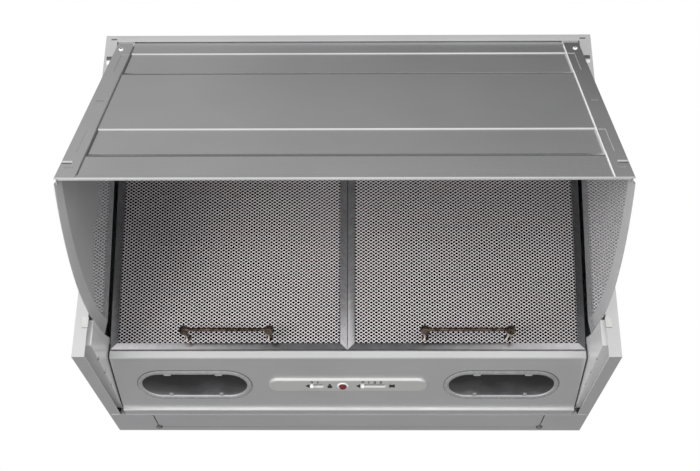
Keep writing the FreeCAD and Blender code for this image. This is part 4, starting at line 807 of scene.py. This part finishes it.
def indicatorBezel(spec):
    form = bmesh.new()
    loops = []
    for k in range(spec["arc"]):
        turn = 2 * math.pi * k / spec["arc"]
        loops.append([form.verts.new((r * math.cos(turn) * mm, r * math.sin(turn) * mm, height * mm))
                      for r, height in spec["section"]])
    bandFaces(form, loops + loops[:1], 0)
    mesh = meshOf(form, "indicatorBezel", (knobSilver,), smooth=True)
    mesh.transform(onPanel("indicator_lens", printLevel))
    newPiece("indicatorBezel", mesh, "casing")


indicatorBezel(bezelSpec)

# filter handles: a round bar on two flared feet, their sections as share of the length and radius
handleSpec = {
    "bar": [(0.0, 1.6), (0.015, 2.6), (0.06, 2.9), (0.09, 2.1), (0.5, 2.4), (0.91, 2.1), (0.94, 2.9),
            (0.985, 2.6), (1.0, 1.6)],
    "foot": [(0.0, 3.8), (0.05, 3.8), (0.07, 2.0), (0.3, 2.1), (0.5, 2.7), (0.7, 4.2), (0.88, 5.9),
             (0.94, 6.0), (1.0, 4.6), (1.04, 2.2)],
    "sides": 20, "knob": 4.2, "spread": 1.5, "lift": 5.2, "past": 3.0, "footDepth": 0.2,
    "highlightSide": (-0.35, 0.1, -0.93), "highlightReach": 0.9, "highlightRings": slice(2, -3),
}


def turnedAlong(form, start, end, section, count):
    along = end - start
    turn = along.to_track_quat("Z", "Y").to_matrix()
    around = [2 * math.pi * k / count for k in range(count)]
    loops = []
    for share, radius in section:
        middle = start + along * share
        loops.append([form.verts.new(middle + turn @ Vector((math.cos(a), math.sin(a), 0)) * radius * mm)
                      for a in around])
    solidBand(form, loops, 0)
    return loops


# the side of a foot that faces down and to the left, in lighter, glossier bronze: a painted highlight
def rubBright(loops, start, end, spec):
    along = end - start
    highlightSide = Vector(spec["highlightSide"]).normalized()
    for vert in [v for ring in loops[spec["highlightRings"]] for v in ring]:
        for face in vert.link_faces:
            middle = face.calc_center_median()
            axis = start + along * ((middle - start).dot(along) / along.length_squared)
            if (middle - axis).normalized().dot(highlightSide) > spec["highlightReach"]:
                face.material_index = 1


def bowHandle(side, spec):
    node = f"{side}_filter_handle"
    up = slopePlane(f"{side}_filter_front_mesh")[1]
    out = xAxis.cross(up)
    points = [v.co for v in nodes[node].data.vertices]
    low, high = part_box(node)
    seat = min(p.dot(out) for p in points)
    barLevel = max(p.dot(out) for p in points) - spec["knob"] * mm
    rear = [p.dot(up) for p in points if p.dot(out) < seat + spec["footDepth"] * mm]
    footUp = (min(rear) + max(rear)) / 2
    form = bmesh.new()
    ends = []
    for sign, edge in ((-1, low.x), (1, high.x)):
        barEnd = edge - sign * spec["knob"] * mm
        foot = xAxis * (barEnd - sign * spec["spread"] * mm) + out * seat + up * footUp
        top = xAxis * barEnd + out * barLevel + up * (footUp + spec["lift"] * mm)
        loops = turnedAlong(form, foot, top, spec["foot"], spec["sides"])
        rubBright(loops, foot, top, spec)
        ends.append(top)
    reach = xAxis * spec["past"] * mm
    turnedAlong(form, ends[0] - reach, ends[1] + reach, spec["bar"], spec["sides"])
    mesh = meshOf(form, f"{side}BowHandle", (oldBronze, highlightBronze), smooth=True)
    newPiece(f"{side}BowHandle", mesh, f"{side}_filter", node)


for side in sides:
    bowHandle(side, handleSpec)
print("filter handles made")


# the canopy's outer face: a plane with its start at the middle of the lip, and its length in millimetres
def canopyPlane():
    sheet = nodes["canopy_panel"].data
    out = max(sheet.polygons, key=lambda p: p.area).normal.copy()
    if out.y > 0:
        out.negate()
    up = out.cross(xAxis).normalized()
    if up.z < 0:
        up.negate()
    reach = [v.co.dot(up) for v in sheet.vertices]
    level = max(v.co.dot(out) for v in nodes["canopy_left_cheek"].data.vertices)
    return toPlane(up * min(reach) + out * level, xAxis, up), (max(reach) - min(reach)) / mm


# lines and fittings of the canopy, its end strips and the casing's corners, in millimetres on their planes
fittingSpec = {
    "bandLines": (50.6, 261.6), "bandWide": 1.1, "lineHigh": 0.12, "lineDeep": 0.5, "sheet": 0.8,
    "lipPlace": (0.0, -0.3), "lip": (565.0, 1.3, -0.4, 0.95),  # width, height up the canopy, foot, rise
    "seam": 262.4, "seamEnds": (1.0, 14.0), "seamDeep": -2.2,
    "seamShadeAndHighlight": {"left": (0.0, 1.5, -0.56, 1), "right": (1.0, 0.9, 0.12, 2)},  # shift, width, level, finish
    "louvrePlace": (277.0, 34.0), "louvre": (10.5, 1.7, 0.0, 1.2), "louvreSlot": (9.5, 2.6, 0.15),
    "screwPlace": (276.0, 336.0), "screwArc": 10, "screwFinish": (2, 2, 2, 1),
    "screw": [(2.9, 0.0), (2.7, 0.9), (1.9, 1.3), (1.5, 1.2), (1.3, 0.3)],
    "corner": [  # notch, clip and slit: place, size, finish; the dark notch and slit are painted shade
        ((292.5, 387.0), (7.0, 4.5, 0.5), 0), ((292.5, 380.0), (5.5, 5.0, 1.0), 1),
        ((289.0, 414.5), (7.0, 1.6, 0.3), 0),
    ],
}


# a flat blade on the canopy between two corners and two levels
def blade(form, start, end, levels, finish):
    corners = [start, (end[0], start[1]), end, (start[0], end[1])]
    loops = [[form.verts.new((x * mm, y * mm, level * mm)) for x, y in corners] for level in levels]
    solidBand(form, loops, finish)


# a tab that rises like a louvre
def wedgeTab(form, x, y, size, finish):
    wide, high, foot, rise = size
    low = [form.verts.new(((x + a * wide / 2) * mm, y * mm, foot * mm)) for a in (-1, 1)]
    top = [form.verts.new(((x + a * wide / 2) * mm, (y + high) * mm, (foot + h) * mm))
           for a, h in ((1, 0), (1, rise), (-1, rise), (-1, 0))]
    for corners in ((low[0], low[1], top[1], top[2]), (top[0], top[3], top[2], top[1]),
                    (low[1], top[0], top[1]), (low[0], top[2], top[3]), (low[0], top[3], top[0], low[1])):
        form.faces.new(corners).material_index = finish


def canopyLines(spec):
    plane = canopyPlane()[0]
    form = bmesh.new()
    levels = (-spec["sheet"] - spec["lineDeep"], -spec["sheet"] + spec["lineHigh"])
    # dark blades along the lower edge of each pressed band: painted shade
    for place in spec["bandLines"]:
        blade(form, (-spec["seam"], place - spec["bandWide"]), (spec["seam"], place), levels, 0)
    wedgeTab(form, *spec["lipPlace"], spec["lip"], 1)
    mesh = meshOf(form, "bandLines", (bandShadeGrey, canopyPaint))
    mesh.transform(plane)
    newPiece("bandLines", mesh, "canopy")


def stripFittings(side, sign, spec):
    plane, length = canopyPlane()
    form = bmesh.new()
    # a blade along the strip's inner edge: painted shade on the left seam, painted highlight on the right
    shift, wide, level, finish = spec["seamShadeAndHighlight"][side]
    x = spec["seam"] * sign + shift
    start, short = spec["seamEnds"]
    blade(form, (x - wide / 2, start), (x + wide / 2, length - short), (spec["seamDeep"], level), finish)
    x, up = spec["louvrePlace"]
    wedgeTab(form, x * sign, up, spec["louvre"], 0)
    # the dark slot under the louvre is painted shade
    roundedTab(form, x * sign, up - spec["louvreSlot"][1] / 2, spec["louvreSlot"], 0, 1)
    # screws on the strip: a light grey head whose dark middle is painted shade in its recess
    x, up = spec["screwPlace"]
    loops = circles(form, spec["screw"], spec["screwArc"], x * sign, up)
    for finish, lower, upper in zip(spec["screwFinish"], loops, loops[1:]):
        ringFaces(form, lower, upper, finish)
    for end in (0, -1):
        form.faces.new(loops[end]).material_index = spec["screwFinish"][end]
    mesh = meshOf(form, f"{side}StripFittings", (canopyPaint, seamAndShadeDark, knobSilver))  # finishes 0, 1 and 2
    mesh.transform(plane)
    newPiece(f"{side}StripFittings", mesh, "canopy")


def cornerFittings(side, sign, spec):
    form = bmesh.new()
    for (x, up), size, finish in spec["corner"]:
        roundedTab(form, x * sign, up, size, 0, finish)
    mesh = meshOf(form, f"{side}CornerFittings", (seamAndShadeDark, knobSilver))  # finishes 0 and 1
    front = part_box("casing_left_side")[0].y
    mesh.transform(toPlane(Vector((0, front, 0)), xAxis, Vector((0, 0, 1))))
    newPiece(f"{side}CornerFittings", mesh, "casing")


canopyLines(fittingSpec)
for side, sign in sides.items():
    stripFittings(side, sign, fittingSpec)
    cornerFittings(side, sign, fittingSpec)
print("strip and corner fittings made")

# rolled edges along the panel's lip and the rear strip's front edge, as profiles in depth and height
beadSpec = {
    "panelBead": {"node": "control_panel", "inset": 0.4, "finish": controlSilver,
                  "profile": [(-86.6, 0.45), (-87.4, -0.3), (-88.5, -0.2), (-88.9, 0.5), (-89.1, 3.3),
                              (-88.7, 3.8), (-87.4, 3.9)]},
    "stripBead": {"node": "rear_bottom_strip", "inset": 1.5, "finish": stripPaint,
                  "profile": [(-70.6, 0.4), (-71.0, 0.2), (-71.1, -0.4), (-70.6, -0.8), (-69.4, -0.8),
                              (-68.6, -0.3), (-68.4, 0.2)]},
}


# a profile in depth and height, drawn out between two places across
def drawnOut(form, profile, places):
    solidBand(form, [[form.verts.new((x, depth * mm, height * mm)) for depth, height in profile]
                     for x in places], 0)


def edgeBead(name, spec):
    low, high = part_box(spec["node"])
    form = bmesh.new()
    drawnOut(form, spec["profile"], (low.x + spec["inset"] * mm, high.x - spec["inset"] * mm))
    newPiece(name, meshOf(form, name, (spec["finish"],)), "casing")


for name, spec in beadSpec.items():
    edgeBead(name, spec)
print("rolled edges made")

# painted shade: dark strips in the gaps at the panel's ends, and dark rings under the strip's screws
gapShadeSpec = {
    "inset": 0.1, "wide": 1.8,
    "outline": [(-88.0, 4.4), (-191.0, 39.4), (-191.0, 49.0), (-182.0, 49.0), (-85.0, 12.0)],
    "shadeRing": [(4.5, 0.0), (4.3, 0.35), (3.3, 0.35), (3.1, 0.0)], "arc": 16,
}


def panelSeals(spec):
    low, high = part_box("control_panel")
    form = bmesh.new()
    for sign, end in ((-1, low.x), (1, high.x)):
        near = end + sign * spec["inset"] * mm
        drawnOut(form, spec["outline"], (near, near + sign * spec["wide"] * mm))
    newPiece("panelSeals", meshOf(form, "panelSeals", (blackPlastic,)), "casing")


def screwWashers(spec):
    points = [v.co for v in nodes["strip_screws"].data.vertices]
    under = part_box("rear_bottom_strip")[0].z / mm
    section = [(r, under - height) for r, height in spec["shadeRing"]]
    form = bmesh.new()
    for sign in sides.values():
        half = [p / mm for p in points if p.x * sign > 0]
        x = (min(p.x for p in half) + max(p.x for p in half)) / 2
        y = (min(p.y for p in half) + max(p.y for p in half)) / 2
        loops = circles(form, section, spec["arc"], x, y)
        bandFaces(form, loops + loops[:1], 0)
    newPiece("screwWashers", meshOf(form, "screwWashers", (blackPlastic,)), "casing")


panelSeals(gapShadeSpec)
screwWashers(gapShadeSpec)
print("gapShades and screwShades made")

# studio: white surround, pale floor, camera from below in front
cameraSpec = {"place": (0.0197, -1.5001, -0.4308), "yaw": 0.752, "lookUp": 25.365, "roll": 0.252,
              "lens": 60.86, "sensor": 36.0}


def addCamera(spec):
    data = bpy.data.cameras.new("photoCamera")
    data.lens = spec["lens"]
    data.sensor_width = spec["sensor"]
    camera = newObject("photoCamera", data)
    yaw = Matrix.Rotation(math.radians(spec["yaw"]), 4, "Z")
    tilt = Matrix.Rotation(math.radians(90 + spec["lookUp"]), 4, "X")
    roll = Matrix.Rotation(math.radians(spec["roll"]), 4, "Z")
    camera.matrix_world = Matrix.Translation(spec["place"]) @ yaw @ tilt @ roll
    bpy.context.scene.camera = camera


worldSpec = {
    "light": 0.5, "pole": (0.25, 0.6, 0.75),  # the dark end of the room, as the metal sees it
    "stops": [(0.345, 0.95), (0.47, 0.5), (0.88, 0.37), (0.904, 0.32), (0.92, 0.29), (0.93, 0.22),
              (0.94, 0.18), (0.95, 0.08)],
}


def mixShaders(tree, factor, first, second):
    mix = addNode(tree, "ShaderNodeMixShader")
    tree.links.new(factor, mix.inputs["Fac"])
    tree.links.new(first.outputs[0], mix.inputs[1])
    tree.links.new(second.outputs[0], mix.inputs[2])
    return mix


def addWorld(spec):
    world = bpy.data.worlds.new("studio")
    bpy.context.scene.world = world
    world.use_nodes = True
    tree = world.node_tree
    tree.nodes.clear()
    out = addNode(tree, "ShaderNodeOutputWorld")
    light = addNode(tree, "ShaderNodeBackground", {"Color": (1, 1, 1, 1), "Strength": spec["light"]})
    white = addNode(tree, "ShaderNodeBackground", {"Color": (1, 1, 1, 1), "Strength": 1.0})
    mirrored = addNode(tree, "ShaderNodeBackground", {"Strength": 1.0})
    coords = addNode(tree, "ShaderNodeTexCoord")
    toPole = addNode(tree, "ShaderNodeVectorMath", operation="DOT_PRODUCT")
    toPole.inputs[1].default_value = Vector(spec["pole"]).normalized()
    tree.links.new(coords.outputs["Generated"], toPole.inputs[0])
    nearness = within(tree, toPole.outputs["Value"], -1.0, 1.0)
    tree.links.new(greyRamp(tree, nearness, spec["stops"]), mirrored.inputs["Color"])
    path = addNode(tree, "ShaderNodeLightPath")
    through = mathNode(tree, "MAXIMUM", path.outputs["Is Camera Ray"], path.outputs["Is Transmission Ray"])
    room = mixShaders(tree, path.outputs["Is Glossy Ray"], light, mirrored)
    seen = mixShaders(tree, through, room, white)
    tree.links.new(seen.outputs[0], out.inputs["Surface"])


lampSpecs = [
    {"name": "keyLamp", "place": (-1.3, -2.0, -0.6), "size": 1.0, "power": 48, "aim": (0, -0.25, 0.15)},
    {"name": "fillLamp", "place": (1.6, -1.7, -0.3), "size": 1.2, "power": 20, "aim": (0, -0.25, 0.15)},
    {"name": "floorLamp", "place": (0, -1.9, 0.9), "size": 2.0, "power": 18, "aim": (0, -1.9, -1.3)},
]


def addLamps(specs):
    for spec in specs:
        data = bpy.data.lights.new(spec["name"], "AREA")
        data.size = spec["size"]
        data.energy = spec["power"]
        lamp = newObject(spec["name"], data)
        lamp.location = spec["place"]
        lamp.rotation_euler = (Vector(spec["aim"]) - lamp.location).to_track_quat("-Z", "Y").to_euler()
        lamp.visible_camera = False
        lamp.visible_glossy = False


floorSpec = {"height": -1.3, "half": 5.0, "dark": (0.5, 0.5, 0.5), "light": (0.53, 0.53, 0.53),
             "cloudScale": 3.0, "rough": 0.8}


def addFloor(spec):
    mesh = bpy.data.meshes.new("floor")
    corners = [(x * spec["half"], y * spec["half"], spec["height"]) for x, y in fourCorners]
    mesh.from_pydata(corners, [], [(0, 1, 2, 3)])
    floor = newObject("floor", mesh)
    material, tree, shader = newMaterial("paleFloor")
    cloud = objectNoise(tree, evenly, spec["cloudScale"])
    tree.links.new(colourBetween(tree, cloud, spec["dark"], spec["light"]), shader.inputs["Base Color"])
    shader.inputs["Roughness"].default_value = spec["rough"]
    wear(floor, material)


addCamera(cameraSpec)
addWorld(worldSpec)
addLamps(lampSpecs)
addFloor(floorSpec)
bpy.context.scene.view_settings.view_transform = "Standard"
print("studio ready")
